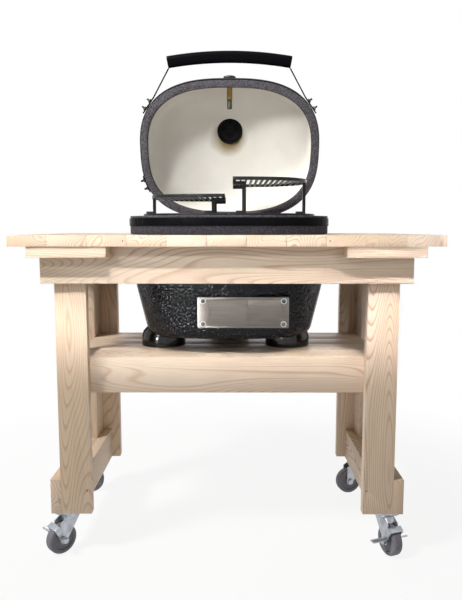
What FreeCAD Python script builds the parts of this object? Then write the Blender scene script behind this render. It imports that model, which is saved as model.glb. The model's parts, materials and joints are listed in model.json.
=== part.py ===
# A kamado grill sunk into a wooden table on four swivel casters.
# Millimetres, +X to the right, +Y to the rear, +Z up from the floor.
# The lid stands open, as it does at rest.
import FreeCAD
import Part
import math
import os
import re

os.makedirs("parts", exist_ok=True)
doc = FreeCAD.newDocument("grill_table")
sheet = doc.addObject("Spreadsheet::Sheet", "Sizes")

# Driving sizes: name, value, what it is
SIZES = (
    ("table_y", -42.07, "table's centre plane, from the origin"),
    ("board_t", 25.4, "thickness of every board"),
    ("board_w", 88.9, "width of a wide board"),
    ("plank_w", 89.9, "width of a plank in the top"),
    ("top_height", 805.2, "floor to table top"),
    ("top_depth", 584.2, "table top, front to back"),
    ("top_overhang", 54.0, "table top past the aprons"),
    ("plank_gap", 0.8, "gap between two planks"),
    ("plank_count", 11.0, "planks in the top"),
    ("frame_half_w", 441.6, "centre to the outer face of the side aprons"),
    ("leg_w", 76.2, "width of a leg's wide board"),
    ("leg_side_w", 88.9, "width of a leg's side board"),
    ("leg_bottom", 108.0, "floor to the legs, the height of a caster"),
    ("rail_w", 88.9, "height of the bottom side rails"),
    ("shelf_height", 502.3, "floor to the shelf's top"),
    ("shelf_rail_w", 88.9, "height of the shelf's front and rear rails"),
    ("shelf_boards", 4.0, "boards in the shelf"),
    ("ledger_w", 38.1, "height of the cleats under the shelf"),
    ("cleat_in", 275.0, "centre to the near end of a top cleat"),
    ("cleat_out", 457.0, "centre to the far end of a top cleat"),
    ("cleat_reach", 50.0, "top cleat in front of the apron"),
    ("nail_r", 1.7, "radius of a nail"),
    ("nail_length", 38.0, "length of a nail"),
    ("nail_x", 235.0, "centre to the nails in the top's edge"),
    ("nail_up", 60.0, "legs' lower end to their nails"),
    ("nail_in", 67.0, "legs' outer edge to their nails"),
    ("caster_in", 39.6, "side apron to a caster's swivel axis"),
    ("caster_x", "=frame_half_w - caster_in", "centre to a caster's swivel axis, sideways"),
    ("caster_back", 57.6, "front apron's face to a caster's swivel axis"),
    ("caster_y", "=top_depth / 2 - top_overhang - caster_back",
     "centre to a caster's swivel axis, front to back"),
    ("plate_size", 60.0, "side of a caster's top plate"),
    ("plate_t", 3.0, "thickness of a caster's top plate"),
    ("plate_hole_r", 3.3, "radius of the holes in a top plate"),
    ("plate_hole_in", 8.0, "edge of a top plate to its holes"),
    ("screw_head_r", 6.0, "radius of a caster screw's head"),
    ("screw_head_t", 3.5, "height of a caster screw's head"),
    ("race_r", 24.0, "radius of the swivel race"),
    ("race_t", 9.0, "height of the swivel race"),
    ("kingpin_r", 6.0, "radius of the swivel's rivet"),
    ("kingpin_head_r", 9.0, "radius of the rivet's head"),
    ("kingpin_head_t", 3.0, "height of the rivet's head"),
    ("swivel_gap", 0.3, "gap between swivel faces"),
    ("pin_gap", 0.05, "radial gap of a shaft in its bore"),
    ("fork_t", 2.5, "sheet thickness of a caster fork"),
    ("fork_crown_r", 23.0, "radius of a fork's crown"),
    ("fork_trail", 28.0, "swivel axis to wheel axle"),
    ("fork_eye_r", 10.0, "radius of a fork's lower ends"),
    ("wheel_r", 38.1, "radius of a caster wheel"),
    ("wheel_w", 25.0, "width of a caster wheel"),
    ("wheel_gap", 0.8, "wheel hub to fork"),
    ("wheel_round", 6.0, "rounding of a wheel's tread"),
    ("hub_r", 15.0, "radius of a wheel's raised hub"),
    ("hub_recess", 2.5, "depth of a wheel's side recess"),
    ("rim_r", 27.0, "outer radius of the side recess"),
    ("axle_r", 4.0, "radius of a wheel axle"),
    ("axle_head_r", 7.5, "radius of an axle's head and nut"),
    ("axle_head_t", 5.0, "thickness of an axle's head and nut"),
    ("pedal_w", 16.0, "width of a brake pedal"),
    ("pedal_t", 3.0, "thickness of a brake pedal"),
    ("pedal_long", 62.0, "wheel's middle to the tip of the long foot tab"),
    ("pedal_short", 39.0, "wheel's middle to the tip of the short foot tab"),
    ("pedal_up", 10.0, "axle to the foot tabs"),
    ("pedal_back", 19.2, "axle to the foot tabs' far edge"),
    ("pedal_strip_gap", 2.5, "tread to the brake's strip"),
    ("pedal_lean", 30.0, "lean of the brake's strip from upright, degrees"),
    ("swivel_front_left", -45.0, "turn of the front left caster, degrees"),
    ("swivel_front_right", 22.0, "turn of the front right caster, degrees"),
    ("swivel_rear_left", -80.0, "turn of the rear left caster, degrees"),
    ("swivel_rear_right", -75.0, "turn of the rear right caster, degrees"),
    ("grill_x", 4.0, "grill's centre, right of the table's centre"),
    ("oval_power", 2.7, "fullness of the grill's oval, 2 being an ellipse"),
    ("rim_half_w", 262.0, "grill rim, half its width"),
    ("lip_in", 9.0, "step from the lip to the body below it"),
    ("body_room", 14.7, "grill's body to the aprons in front of and behind it"),
    ("rim_half_d", "=(top_depth / 2 - top_overhang - board_t - body_room)"
     " * rim_half_w / (rim_half_w - lip_in)", "grill rim, half its depth"),
    ("rim_up", 46.8, "table top to the plane where lid and base meet"),
    ("rim_z", "=top_height + rim_up", "floor to the plane where lid and base meet"),
    ("wall", 22.0, "thickness of the ceramic wall"),
    ("gasket_t", 3.5, "thickness of one gasket"),
    ("gasket_w", 20.0, "width of a gasket"),
    ("close_gap", 0.5, "gap between the gaskets with the lid shut"),
    ("lip_drop", 46.5, "rim plane to the base lip's lower edge"),
    ("hole_gap", 5.0, "table's hole around the body"),
    ("base_clear", 40.7, "shelf to the grill base's underside"),
    ("base_bottom", "=shelf_height + base_clear", "floor to the grill base's underside"),
    ("base_lean", 13.3, "lean of the body's lower side from upright, degrees"),
    ("base_knee_r", 260.0, "radius where the body's upright side turns inward"),
    ("base_knee_z", "=rim_z - 132", "floor to the lower end of the body's upright side"),
    ("base_corner", 26.0, "radius of the body's lower corner"),
    ("corner_in", 8.0, "smallest radius of the corners inside the bowl"),
    ("lid_rise", 193.0, "rim plane to the lid's crown"),
    ("lid_straight", 33.0, "height of the lid's upright wall"),
    ("lid_shoulder", 110.0, "radius of the lid's shoulder"),
    ("crown_flat", 25.0, "half width where the crown closes"),
    ("band_t", 2.0, "thickness of the steel bands"),
    ("band_gap", 0.3, "gap between a band and the ceramic"),
    ("base_band_top", 5.5, "rim plane to the base band's top"),
    ("base_band_w", 19.5, "height of the base band"),
    ("lid_band_up", 4.5, "rim plane to the lid band's lower edge"),
    ("lid_band_w", 20.0, "height of the lid band"),
    ("slot_x", 215.0, "grill's centre to a slot in the base band"),
    ("slot_pitch", 16.0, "distance between two slots in the base band"),
    ("slot_w", 3.0, "width of a slot in the base band"),
    ("clamp_turn", 111.0, "where the band's clamp sits, degrees from the front"),
    ("hinge_back", 17.0, "rim's rear to the hinge axis"),
    ("hinge_y", "=rim_half_d + hinge_back", "centre to the hinge axis, rearward"),
    ("hinge_drop", 29.0, "rim plane to the hinge axis"),
    ("lid_open", 70.2, "angle of the open lid"),
    ("hinge_x", 80.0, "centre to a hinge arm"),
    ("hinge_t", 4.0, "thickness of the hinge's arms and plates"),
    ("hinge_boss_r", 9.0, "radius of the hinge's eyes"),
    ("hinge_pin_r", 4.0, "radius of the hinge pins"),
    ("hinge_arm_w", 12.0, "width of the lid's hinge arms"),
    ("hinge_plate_w", 200.0, "length of the hinge plates"),
    ("hinge_side_gap", 0.5, "gap beside each hinge arm"),
    ("stop_back", 40.0, "hinge axis to the lid's stop bar"),
    ("stop_r", 4.0, "radius of the lid's stop bar"),
    ("grip_half", 173.0, "half length of the handle's grip"),
    ("grip_front", 59.0, "rim's front to the grip's centre"),
    ("grip_up", 17.0, "rim plane to the grip's centre"),
    ("grip_bow", 14.0, "bow of the grip"),
    ("grip_deep", 32.0, "grip, front to back"),
    ("grip_high", 25.0, "grip, height"),
    ("grip_round", 9.0, "rounding of the grip's edges"),
    ("arm_t", 4.0, "thickness of the handle's arms"),
    ("arm_w", 18.0, "height of the handle's arms"),
    ("arm_turn", 57.0, "where the arms meet the band, degrees from the front"),
    ("foot_length", 52.0, "length of the handle arms' feet"),
    ("bolt_r", 3.0, "radius of the handle's bolts"),
    ("bolt_head_r", 5.5, "radius of the handle bolts' heads"),
    ("bolt_head_t", 4.0, "height of the handle bolts' heads"),
    ("bolt_pitch", 26.0, "distance between a foot's two bolts"),
    ("chimney_y", -30.0, "chimney's axis, from the lid's centre"),
    ("chimney_r", 40.0, "radius of the chimney hole"),
    ("chimney_wall", 4.0, "wall of the chimney ring"),
    ("chimney_flange_r", 58.0, "radius of the chimney ring's flange"),
    ("chimney_rise", 8.0, "crown to the chimney ring's top"),
    ("vent_r", 8.0, "radius of the damper's holes"),
    ("vent_circle", 22.0, "chimney's axis to the damper's holes"),
    ("vent_count", 4.0, "holes in the damper"),
    ("vent_plate_t", 4.0, "thickness of the chimney ring's plate"),
    ("cap_r", 54.0, "radius of the damper cap"),
    ("cap_t", 6.0, "thickness of the damper cap"),
    ("cap_tab", 16.0, "reach of the damper cap's tab"),
    ("cap_pin_r", 4.0, "radius of the damper's pivot"),
    ("stem_r", 4.0, "radius of the thermometer's stem"),
    ("stem_length", 62.0, "length of the thermometer's stem"),
    ("stem_up", 85.0, "rim plane to the thermometer's hole"),
    ("tip_r", 7.0, "radius of the thermometer's inner end"),
    ("dial_r", 18.0, "radius of the thermometer's dial"),
    ("dial_t", 6.0, "thickness of the thermometer's case"),
    ("dial_seat", 2.0, "dome to the back of the thermometer's case"),
    ("nut_r", 8.0, "radius of the thermometer's sleeve"),
    ("nut_t", 34.0, "length of the thermometer's sleeve"),
    ("nut_seat", 1.0, "inside of the dome to the thermometer's sleeve"),
    ("draft_x", 40.0, "draft plate's centre, from the table's centre"),
    ("draft_up", 72.5, "grill base's underside to the draft plate's centre"),
    ("draft_z", "=base_bottom + draft_up", "floor to the draft plate's centre"),
    ("draft_w", 224.0, "width of the draft plate"),
    ("draft_h", 76.0, "height of the draft plate"),
    ("draft_t", 1.6, "thickness of the draft plate"),
    ("draft_margin", 12.0, "draft plate's border above and below its opening"),
    ("draft_side", 20.0, "draft plate's end to its doors"),
    ("draft_rail", 4.0, "depth of the rails that hold the doors"),
    ("draft_pad", 3.0, "ceramic left around the draft plate"),
    ("door_t", 1.6, "thickness of a draft door"),
    ("door_seam", 12.0, "draft plate's centre to the doors' seam"),
    ("door_lap", 6.0, "overlap of the two draft doors"),
    ("door_gap", 0.4, "gap around a draft door"),
    ("door_tab", 10.0, "reach of a draft door's finger tab"),
    ("pad_proud", 0.6, "ceramic pad in front of the bowl's upper side"),
    ("draft_screw_in", 13.0, "draft plate's end to its screws"),
    ("draft_screw_down", 9.6, "draft plate's upper and lower edges to its screws"),
    ("draft_screw_r", 6.4, "radius of a draft plate screw's head"),
    ("draft_screw_top_r", 4.0, "radius of a draft plate screw's flat top"),
    ("draft_screw_h", 1.2, "height of a draft plate screw's head"),
    ("firebox_gap", 3.0, "gap between firebox and base"),
    ("firebox_wall", 14.0, "thickness of the firebox"),
    ("coal_up", 112.0, "grill base's underside to the charcoal grate's underside"),
    ("coal_z", "=base_bottom + coal_up", "floor to the charcoal grate's underside"),
    ("coal_t", 7.0, "thickness of the charcoal grate"),
    ("ring_up", 35.0, "charcoal grate's underside to the fire ring"),
    ("mouth_side", 8.0, "firebox's mouth past the draft opening on each side"),
    ("coal_ledge", 10.0, "width of the ledge under the charcoal grate"),
    ("coal_gap", 2.5, "gap around the charcoal grate"),
    ("grate_sink", 2.0, "rim plane to the cooking grates' underside"),
    ("grate_gap", 3.0, "gap around the cooking grates"),
    ("grate_frame", 8.0, "width and height of a grate's frame"),
    ("bar_w", 5.0, "width of a grate's bars"),
    ("bar_pitch", 14.8, "distance between a grate's bars"),
    ("grate_split", 1.5, "half the gap between the two cooking grates"),
    ("rack_rod", 8.0, "thickness of a rack's legs and frame"),
    ("rack_bar", 3.6, "thickness of a rack's bars"),
    ("rack_pitch", 13.5, "distance between a rack's bars"),
    ("rack_half_w", 206.0, "half width of the oval that the racks follow"),
    ("rack_room", 59.0, "rim to the oval that the racks follow, front and rear"),
    ("rack_half_d", "=rim_half_d - rack_room", "half depth of the oval that the racks follow"),
    ("low_rack_up", 54.0, "rim plane to the low rack's top"),
    ("low_rack_z", "=rim_z + low_rack_up", "floor to the low rack's top"),
    ("high_rack_up", 96.0, "rim plane to the high rack's top"),
    ("high_rack_z", "=rim_z + high_rack_up", "floor to the high rack's top"),
    ("rack_in", 10.0, "centre to the racks' inner edges"),
    ("rack_foot", 22.0, "length of a rack's feet"),
    ("rack_leg_x", 40.0, "centre to the racks' inner legs, sideways"),
    ("rack_leg_y", 96.0, "centre to the racks' inner legs, front and rear"),
    ("shoe_r", 60.0, "radius of a ceramic shoe"),
    ("shoe_high", "=base_clear + 19", "height of a ceramic shoe"),
    ("shoe_side", "=base_clear - 16", "height of a shoe's upright side"),
    ("shoe_bulge_r", 49.0, "radius of a shoe where its dome bulges most"),
    ("shoe_bulge_z", "=base_clear + 8", "height of a shoe where its dome bulges most"),
    ("shoe_left", 181.0, "centre to the left shoe"),
    ("shoe_right", 160.0, "centre to the right shoe"),
    ("shoe_rear", 118.0, "centre to the rear shoe"),
    ("shoe_gap", 0.2, "gap between the shoes and the base"),
)

for row, (alias, number, meaning) in enumerate(SIZES, start=1):
    sheet.set(f"A{row}", meaning)
    sheet.set(f"B{row}", str(number))
    sheet.setAlias(f"B{row}", alias)
doc.recompute()


class Values:
    """The sheet's numbers, for the shapes that are worked out in code."""

    def __getattr__(self, alias):
        return float(sheet.get(alias))


v = Values()
nodes = []


def formula(text):
    """Point each word of a formula at its cell in the sheet."""
    return re.sub(r"\b[a-z]\w*\b(?!\()", lambda word: "Sizes." + word.group(0), str(text))


def bind(thing, **properties):
    """Bind properties to formulas; an underscore pair stands for a dot."""
    for name, text in properties.items():
        thing.setExpression(name.replace("__", "."), formula(text))


def place(thing, x="0", y="0", z="0"):
    bind(thing, Placement__Base__x=x, Placement__Base__y=y, Placement__Base__z=z)
    return thing


def span(low, high):
    """One direction of a box, from low to high."""
    return low, f"({high}) - ({low})"


def box(name, x, y, z):
    """A box between (low, high) formulas in each direction."""
    thing = doc.addObject("Part::Box", name)
    (x0, length), (y0, width), (z0, height) = span(*x), span(*y), span(*z)
    bind(thing, Length=length, Width=width, Height=height)
    return place(thing, x0, y0, z0)


AXIS_TURN = {
    "x": FreeCAD.Rotation(FreeCAD.Vector(0, 1, 0), 90),
    "y": FreeCAD.Rotation(FreeCAD.Vector(1, 0, 0), -90),
    "z": FreeCAD.Rotation(),
}


def cylinder(name, radius, length, at=("0", "0", "0"), along="z"):
    """A cylinder from a point along +X, +Y or +Z."""
    thing = doc.addObject("Part::Cylinder", name)
    bind(thing, Radius=radius, Height=length)
    thing.Placement.Rotation = AXIS_TURN[along]
    return place(thing, *at)


def cut(name, base, tool):
    thing = doc.addObject("Part::Cut", name)
    thing.Base = base
    thing.Tool = tool
    return thing


def group(name, pieces):
    """Separate solids that share a node."""
    thing = doc.addObject("Part::Compound", name)
    thing.Links = pieces
    return thing


def feature(name, shape):
    """A shape worked out in code from the sheet's numbers."""
    thing = doc.addObject("Part::Feature", name)
    thing.Shape = shape
    return thing


def node(thing, label, x="0", y="table_y", z="0"):
    """Make a finished piece a node of the part and put it in its place."""
    thing.Label = label
    nodes.append(thing)
    return place(thing, x, y, z)


def in_grill(thing, label):
    """A node whose shape is drawn about the grill's centre line."""
    return node(thing, label, x="grill_x")


def in_lid(thing, label):
    """A node drawn with the lid shut, then swung open about the hinge."""
    thing.Label = label
    nodes.append(thing)
    thing.Placement.Rotation = FreeCAD.Rotation(FreeCAD.Vector(1, 0, 0), -1)
    bind(thing, Placement__Rotation__Angle="-lid_open")
    y = f"table_y + hinge_y - hinge_y * cos(lid_open) - {HINGE_Z} * sin(lid_open)"
    z = f"{HINGE_Z} + hinge_y * sin(lid_open) - {HINGE_Z} * cos(lid_open)"
    return place(thing, "grill_x", y, z)


# Heights and depths that several pieces share
TOP_UNDER = "(top_height - board_t)"
APRON_BOTTOM = "(top_height - board_t - board_w)"
APRON_Y = "(top_depth / 2 - top_overhang)"
APRON_IN = "(top_depth / 2 - top_overhang - board_t)"
LEG_IN = "(top_depth / 2 - top_overhang - 2 * board_t)"
SHELF_IN = "(top_depth / 2 - top_overhang - 3 * board_t)"
SIDE_IN = "(frame_half_w - board_t)"
LEG_X_IN = "(frame_half_w - 2 * board_t)"
HINGE_Z = "(rim_z - hinge_drop)"


def side(sign, low, high):
    """A (low, high) pair on the plus or the minus side of the centre."""
    return (low, high) if sign > 0 else (f"-({high})", f"-({low})")


# The grill's oval


def fullness(part):
    """One coordinate of the oval, from a sine or a cosine."""
    return math.copysign(abs(part) ** (2 / v.oval_power), part)


def oval_wire(half_w, half_d, z):
    """A smooth closed oval in a level plane."""
    steps = 40
    points = []
    for step in range(steps):
        turn = 2 * math.pi * step / steps
        x = half_w * fullness(math.cos(turn))
        y = half_d * fullness(math.sin(turn))
        points.append(FreeCAD.Vector(x, y, z))
    curve = Part.BSplineCurve()
    curve.interpolate(points, PeriodicFlag=True)
    return Part.Wire(curve.toShape())


def oval_block(half_w, half_d, low, high):
    """A solid with upright walls between two heights."""
    face = Part.Face(oval_wire(half_w, half_d, low))
    return face.extrude(FreeCAD.Vector(0, 0, high - low))


def extruded(wires, low, high):
    """A plate from an outline and any holes in it, drawn at its lower height."""
    face = Part.makeFace(wires, "Part::FaceMakerBullseye")
    return face.extrude(FreeCAD.Vector(0, 0, high - low))


def oval_ring(half_w, half_d, thickness, low, high):
    """An upright band; its half width and depth are those of its inner face."""
    outer = oval_wire(half_w + thickness, half_d + thickness, low)
    return extruded([outer, oval_wire(half_w, half_d, low)], low, high)


def oval_half_depth(x, half_w, half_d):
    """How far the oval reaches to the front and rear at a place across it."""
    return half_d * (1 - (abs(x) / half_w) ** v.oval_power) ** (1 / v.oval_power)


def oval_point(degrees_from_front, half_w, half_d):
    """A point of the oval and its outward direction, on the +X side."""
    turn = math.radians(degrees_from_front)
    x = half_w * fullness(math.sin(turn))
    y = -half_d * fullness(math.cos(turn))
    power = v.oval_power - 1
    out_y = math.copysign((abs(y) / half_d) ** power / half_d, y)
    out = FreeCAD.Vector((abs(x) / half_w) ** power / half_w, out_y, 0)
    return FreeCAD.Vector(x, y, 0), out.normalize()


# Table top: planks from front to back, cut away around the grill

PLANK_PITCH = "(plank_w + plank_gap)"
last_plank = int(v.plank_count) // 2
body_half_w = v.rim_half_w - v.lip_in
hole_half_w = body_half_w + v.hole_gap
hole_half_d = body_half_w * v.rim_half_d / v.rim_half_w + v.hole_gap
hole_block = oval_block(
    hole_half_w, hole_half_d, v.top_height - 2 * v.board_t, v.top_height + v.board_t
)
hole_block.translate(FreeCAD.Vector(v.grill_x, 0, 0))
table_hole = feature("table_hole", hole_block)


def plank(index, low="-top_depth / 2", high="top_depth / 2"):
    middle = f"{index} * {PLANK_PITCH}"
    x = (f"{middle} - plank_w / 2", f"{middle} + plank_w / 2")
    return box(f"plank_{index + last_plank}", x, (low, high), (TOP_UNDER, "top_height"))


nail_holes = []
for sign in (-1, 1):
    for name, x, z in (
        ("edge", "nail_x", "(top_height - board_t / 2)"),
        ("leg", "(frame_half_w - board_t - nail_in)", "(leg_bottom + nail_up)"),
    ):
        face_y = "-(top_depth / 2)" if name == "edge" else f"-({APRON_IN})"
        at = (f"{sign} * {x}", face_y, z)
        nail_holes.append(cylinder(f"{name}_nail", "nail_r", "nail_length", at, "y"))
nail_tool = group("nail_tool", nail_holes)


def cut_around(name, pieces, *tools):
    """Wood with the grill's hole or the nails' holes cut out of it."""
    thing = group(name + "_whole", pieces)
    for tool in tools:
        thing = cut(name + "_cut", thing, tool)
    return thing


outer_planks = range(last_plank - 2, last_plank + 1)
inner_planks = range(-(last_plank - 3), last_plank - 2)
for name, sign in (("left", -1), ("right", 1)):
    wood = cut_around(f"{name}_planks", [plank(sign * i) for i in outer_planks], table_hole, nail_tool)
    node(wood, f"{name}_planks")
for name, low, high in (("front", "-top_depth / 2", "0"), ("rear", "0", "top_depth / 2")):
    wood = cut_around(f"{name}_planks", [plank(i, low, high) for i in inner_planks], table_hole)
    node(wood, f"{name}_planks")
node(group("nails", nail_holes), "nails")

# Aprons under the top, and the cleats that carry its overhang
APRON_Z = (APRON_BOTTOM, TOP_UNDER)
node(box("front_apron", ("-frame_half_w", "frame_half_w"), side(-1, APRON_IN, APRON_Y), APRON_Z),
     "front_apron", x="-frame_half_w", y=f"table_y - {APRON_Y}", z=APRON_BOTTOM)
node(box("rear_apron", ("-frame_half_w", "frame_half_w"), side(1, APRON_IN, APRON_Y), APRON_Z),
     "rear_apron", x="-frame_half_w", y=f"table_y + {APRON_IN}", z=APRON_BOTTOM)
apron_sides = [
    box("side_apron", side(sign, SIDE_IN, "frame_half_w"), (f"-{APRON_IN}", APRON_IN), APRON_Z)
    for sign in (-1, 1)
]
node(group("side_aprons", apron_sides), "side_aprons")
cleats = [
    box("cleat", side(across, "cleat_in", "cleat_out"),
        side(along, APRON_Y, f"{APRON_Y} + cleat_reach"), (f"{TOP_UNDER} - board_t", TOP_UNDER))
    for across in (-1, 1) for along in (-1, 1)
]
node(group("top_cleats", cleats), "top_cleats")

# Legs: a wide board facing front or rear and a side board behind it
LEG_Z = ("leg_bottom", TOP_UNDER)
for row, along in (("front", -1), ("rear", 1)):
    for column, across in (("left", -1), ("right", 1)):
        wide = box("leg_board", side(across, f"{SIDE_IN} - leg_w", SIDE_IN),
                   side(along, LEG_IN, APRON_IN), LEG_Z)
        inner = box("leg_side", side(across, LEG_X_IN, SIDE_IN),
                    side(along, f"{LEG_IN} - leg_side_w", LEG_IN), LEG_Z)
        label = f"{row}_{column}_leg"
        tools = (nail_tool,) if row == "front" else ()
        node(cut_around(label, [wide, inner], *tools), label)

# Bottom rails: three boards against each other on either side
rails = []
for across in (-1, 1):
    for low, high, reach in (
        (SIDE_IN, "frame_half_w", APRON_IN),
        (LEG_X_IN, SIDE_IN, f"({LEG_IN} - leg_side_w)"),
        (f"({LEG_X_IN} - board_t)", LEG_X_IN, LEG_IN),
    ):
        rails.append(box("rail", side(across, low, high), (f"-{reach}", reach),
                         ("leg_bottom", "leg_bottom + rail_w")))
node(group("bottom_rails", rails), "bottom_rails")

# Shelf between the legs
SHELF_UNDER = "(shelf_height - board_t)"
SHELF_X = (f"-{LEG_X_IN}", LEG_X_IN)
shelf_rails = [
    box("shelf_rail", SHELF_X, side(along, SHELF_IN, LEG_IN),
        ("shelf_height - shelf_rail_w", "shelf_height"))
    for along in (-1, 1)
]
node(group("shelf_rails", shelf_rails), "shelf_rails")
shelf_boards = []
for index in range(int(v.shelf_boards)):
    pitch = f"(2 * {SHELF_IN} / shelf_boards)"
    start = f"-{SHELF_IN} + {index} * {pitch}"
    shelf_boards.append(box("shelf_board", SHELF_X,
                            (f"{start} + plank_gap / 2", f"{start} + {pitch} - plank_gap / 2"),
                            (SHELF_UNDER, "shelf_height")))
node(group("shelf_boards_laid", shelf_boards), "shelf_boards")
LEDGER_Z = (f"{SHELF_UNDER} - ledger_w", SHELF_UNDER)
LEDGER_Y = (f"-{SHELF_IN}", SHELF_IN)
ledgers = [box("middle_ledger", ("-board_t / 2", "board_t / 2"), LEDGER_Y, LEDGER_Z)]
for across in (-1, 1):
    ledgers.append(box("end_ledger", side(across, f"{LEG_X_IN} - board_t", LEG_X_IN),
                       LEDGER_Y, LEDGER_Z))
node(group("shelf_ledgers", ledgers), "shelf_ledgers")


# Casters, each drawn with its swivel axis on the Z axis and its wheel trailing to the front

race_bottom = v.leg_bottom - v.plate_t - v.race_t
crown_top = race_bottom - v.swivel_gap
crown_bottom = crown_top - v.fork_t
fork_in = v.wheel_w / 2 + v.wheel_gap
fork_out = fork_in + v.fork_t
brake_in = fork_out + v.swivel_gap
brake_out = brake_in + v.pedal_t
AXIS_X = FreeCAD.Vector(1, 0, 0)
AXIS_Z = FreeCAD.Vector(0, 0, 1)
screw_spot = v.plate_size / 2 - v.plate_hole_in


def disc(radius, low, high, x=0.0, y=0.0):
    return Part.makeCylinder(radius, high - low, FreeCAD.Vector(x, y, low), AXIS_Z)


def on_axle(radius, low, high):
    """A cylinder about the wheel's axle between two places along it."""
    return Part.makeCylinder(radius, high - low, FreeCAD.Vector(low, -v.fork_trail, v.wheel_r), AXIS_X)


def screw_spots():
    return [(x, y) for x in (-screw_spot, screw_spot) for y in (-screw_spot, screw_spot)]


def caster_plate():
    half = v.plate_size / 2
    corner = FreeCAD.Vector(-half, -half, v.leg_bottom - v.plate_t)
    shape = Part.makeBox(v.plate_size, v.plate_size, v.plate_t, corner)
    for x, y in screw_spots():
        shape = shape.cut(disc(v.plate_hole_r, v.leg_bottom - v.plate_t, v.leg_bottom, x, y))
    shape = shape.fuse(disc(v.race_r, race_bottom, v.leg_bottom - v.plate_t))
    head_top = crown_bottom - v.swivel_gap
    shape = shape.fuse(disc(v.kingpin_r, head_top, race_bottom))
    shape = shape.fuse(disc(v.kingpin_head_r, head_top - v.kingpin_head_t, head_top))
    return shape.removeSplitter()


def caster_screws():
    screws = []
    for x, y in screw_spots():
        head = disc(v.screw_head_r, v.leg_bottom - v.plate_t - v.screw_head_t,
                    v.leg_bottom - v.plate_t, x, y)
        shank = disc(v.plate_hole_r - v.swivel_gap, v.leg_bottom - v.plate_t, v.leg_bottom, x, y)
        screws.append(head.fuse(shank).removeSplitter())
    return Part.makeCompound(screws)


def side_plate(low, high, outline):
    """A sheet across the X axis with its outline in (y, z) points."""
    points = [FreeCAD.Vector(low, y, z) for y, z in outline]
    face = Part.Face(Part.makePolygon(points + points[:1]))
    return face.extrude(FreeCAD.Vector(high - low, 0, 0))


def caster_fork(braked):
    shape = disc(v.fork_crown_r, crown_bottom, crown_top)
    trail = -v.fork_trail
    for low, high in ((fork_in, fork_out), (-fork_out, -fork_in)):
        reach = math.sqrt(v.fork_crown_r**2 - fork_out**2)
        shape = shape.fuse(side_plate(low, high, (
            (reach, crown_top),
            (reach, crown_bottom - v.fork_t),
            (trail + v.fork_eye_r, v.wheel_r),
            (trail - v.fork_eye_r, v.wheel_r),
            (trail - v.fork_eye_r, crown_bottom - v.fork_eye_r),
            (-reach, crown_top),
        )))
        shape = shape.fuse(on_axle(v.fork_eye_r, low, high))
    shape = shape.cut(disc(v.kingpin_r + v.pin_gap, crown_bottom, crown_top))
    shape = shape.cut(on_axle(v.axle_r + v.pin_gap, -fork_out, fork_out)).removeSplitter()
    head_in = brake_out + v.swivel_gap if braked else fork_out
    axle = on_axle(v.axle_r, -head_in, head_in)
    axle = axle.fuse(on_axle(v.axle_head_r, head_in, head_in + v.axle_head_t))
    axle = axle.fuse(on_axle(v.axle_head_r, -head_in - v.axle_head_t, -head_in))
    return Part.makeCompound([shape, axle.removeSplitter()])


def caster_wheel():
    half = v.wheel_w / 2
    tyre = on_axle(v.wheel_r, -half, half)
    edges = [edge for edge in tyre.Edges if edge.Closed]
    tyre = tyre.makeFillet(v.wheel_round, edges)
    for low, high in ((half - v.hub_recess, half), (-half, -half + v.hub_recess)):
        recess = on_axle(v.rim_r, low, high).cut(on_axle(v.hub_r, low, high))
        tyre = tyre.cut(recess)
    return tyre.cut(on_axle(v.axle_r + v.pin_gap, -half, half))


def caster_brake():
    """A stirrup over the wheel that turns about the axle, with a foot tab on either side."""
    trail = -v.fork_trail
    strip_in = v.wheel_r + v.pedal_strip_gap
    strip_out = strip_in + v.pedal_t
    ring = on_axle(strip_out, -brake_out, brake_out).cut(on_axle(strip_in, -brake_out, brake_out))
    slot = Part.makeBox(2 * brake_out, v.pedal_w, strip_out,
                        FreeCAD.Vector(-brake_out, trail - v.pedal_w / 2, v.wheel_r))
    shape = ring.common(slot)
    for low, high in ((brake_in, brake_out), (-brake_out, -brake_in)):
        cheek = Part.makeBox(v.pedal_t, v.pedal_w, strip_out,
                             FreeCAD.Vector(low, trail - v.pedal_w / 2, v.wheel_r))
        cheek = cheek.common(on_axle(strip_out, low, high))
        shape = shape.fuse(cheek).fuse(on_axle(v.pedal_w / 2, low, high))
    shape.rotate(FreeCAD.Vector(0, trail, v.wheel_r), AXIS_X, v.pedal_lean)
    tab_z = v.wheel_r + v.pedal_up
    for low, high in ((brake_in, v.pedal_short), (-v.pedal_long, -brake_in)):
        shape = shape.fuse(Part.makeBox(high - low, v.pedal_w, v.pedal_t,
                                        FreeCAD.Vector(low, trail - v.pedal_back, tab_z)))
    return shape.cut(on_axle(v.axle_r + v.pin_gap, -brake_out, brake_out)).removeSplitter()


def at_caster(thing, label, row, column, swivel=True):
    x = "-caster_x" if column == "left" else "caster_x"
    y = "table_y - caster_y" if row == "front" else "table_y + caster_y"
    node(thing, label, x, y)
    if swivel:
        bind(thing, Placement__Rotation__Angle=f"swivel_{row}_{column}")


all_screws = []
for row in ("front", "rear"):
    for column in ("left", "right"):
        name = f"{row}_{column}"
        braked = row == "front"
        at_caster(feature(name + "_plate", caster_plate()), name + "_plate", row, column, False)
        screws = feature(name + "_screws", caster_screws())
        sign_x = "-" if column == "left" else ""
        sign_y = "-" if row == "front" else ""
        all_screws.append(place(screws, sign_x + "caster_x", sign_y + "caster_y"))
        at_caster(feature(name + "_fork", caster_fork(braked)), name + "_fork", row, column)
        at_caster(feature(name + "_wheel", caster_wheel()), name + "_wheel", row, column)
        if braked:
            at_caster(feature(name + "_brake", caster_brake()), name + "_brake", row, column)
node(group("caster_screws", all_screws), "caster_screws")


# Ceramic bowl and lid, as stations: half width, height and outward direction of each oval

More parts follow.
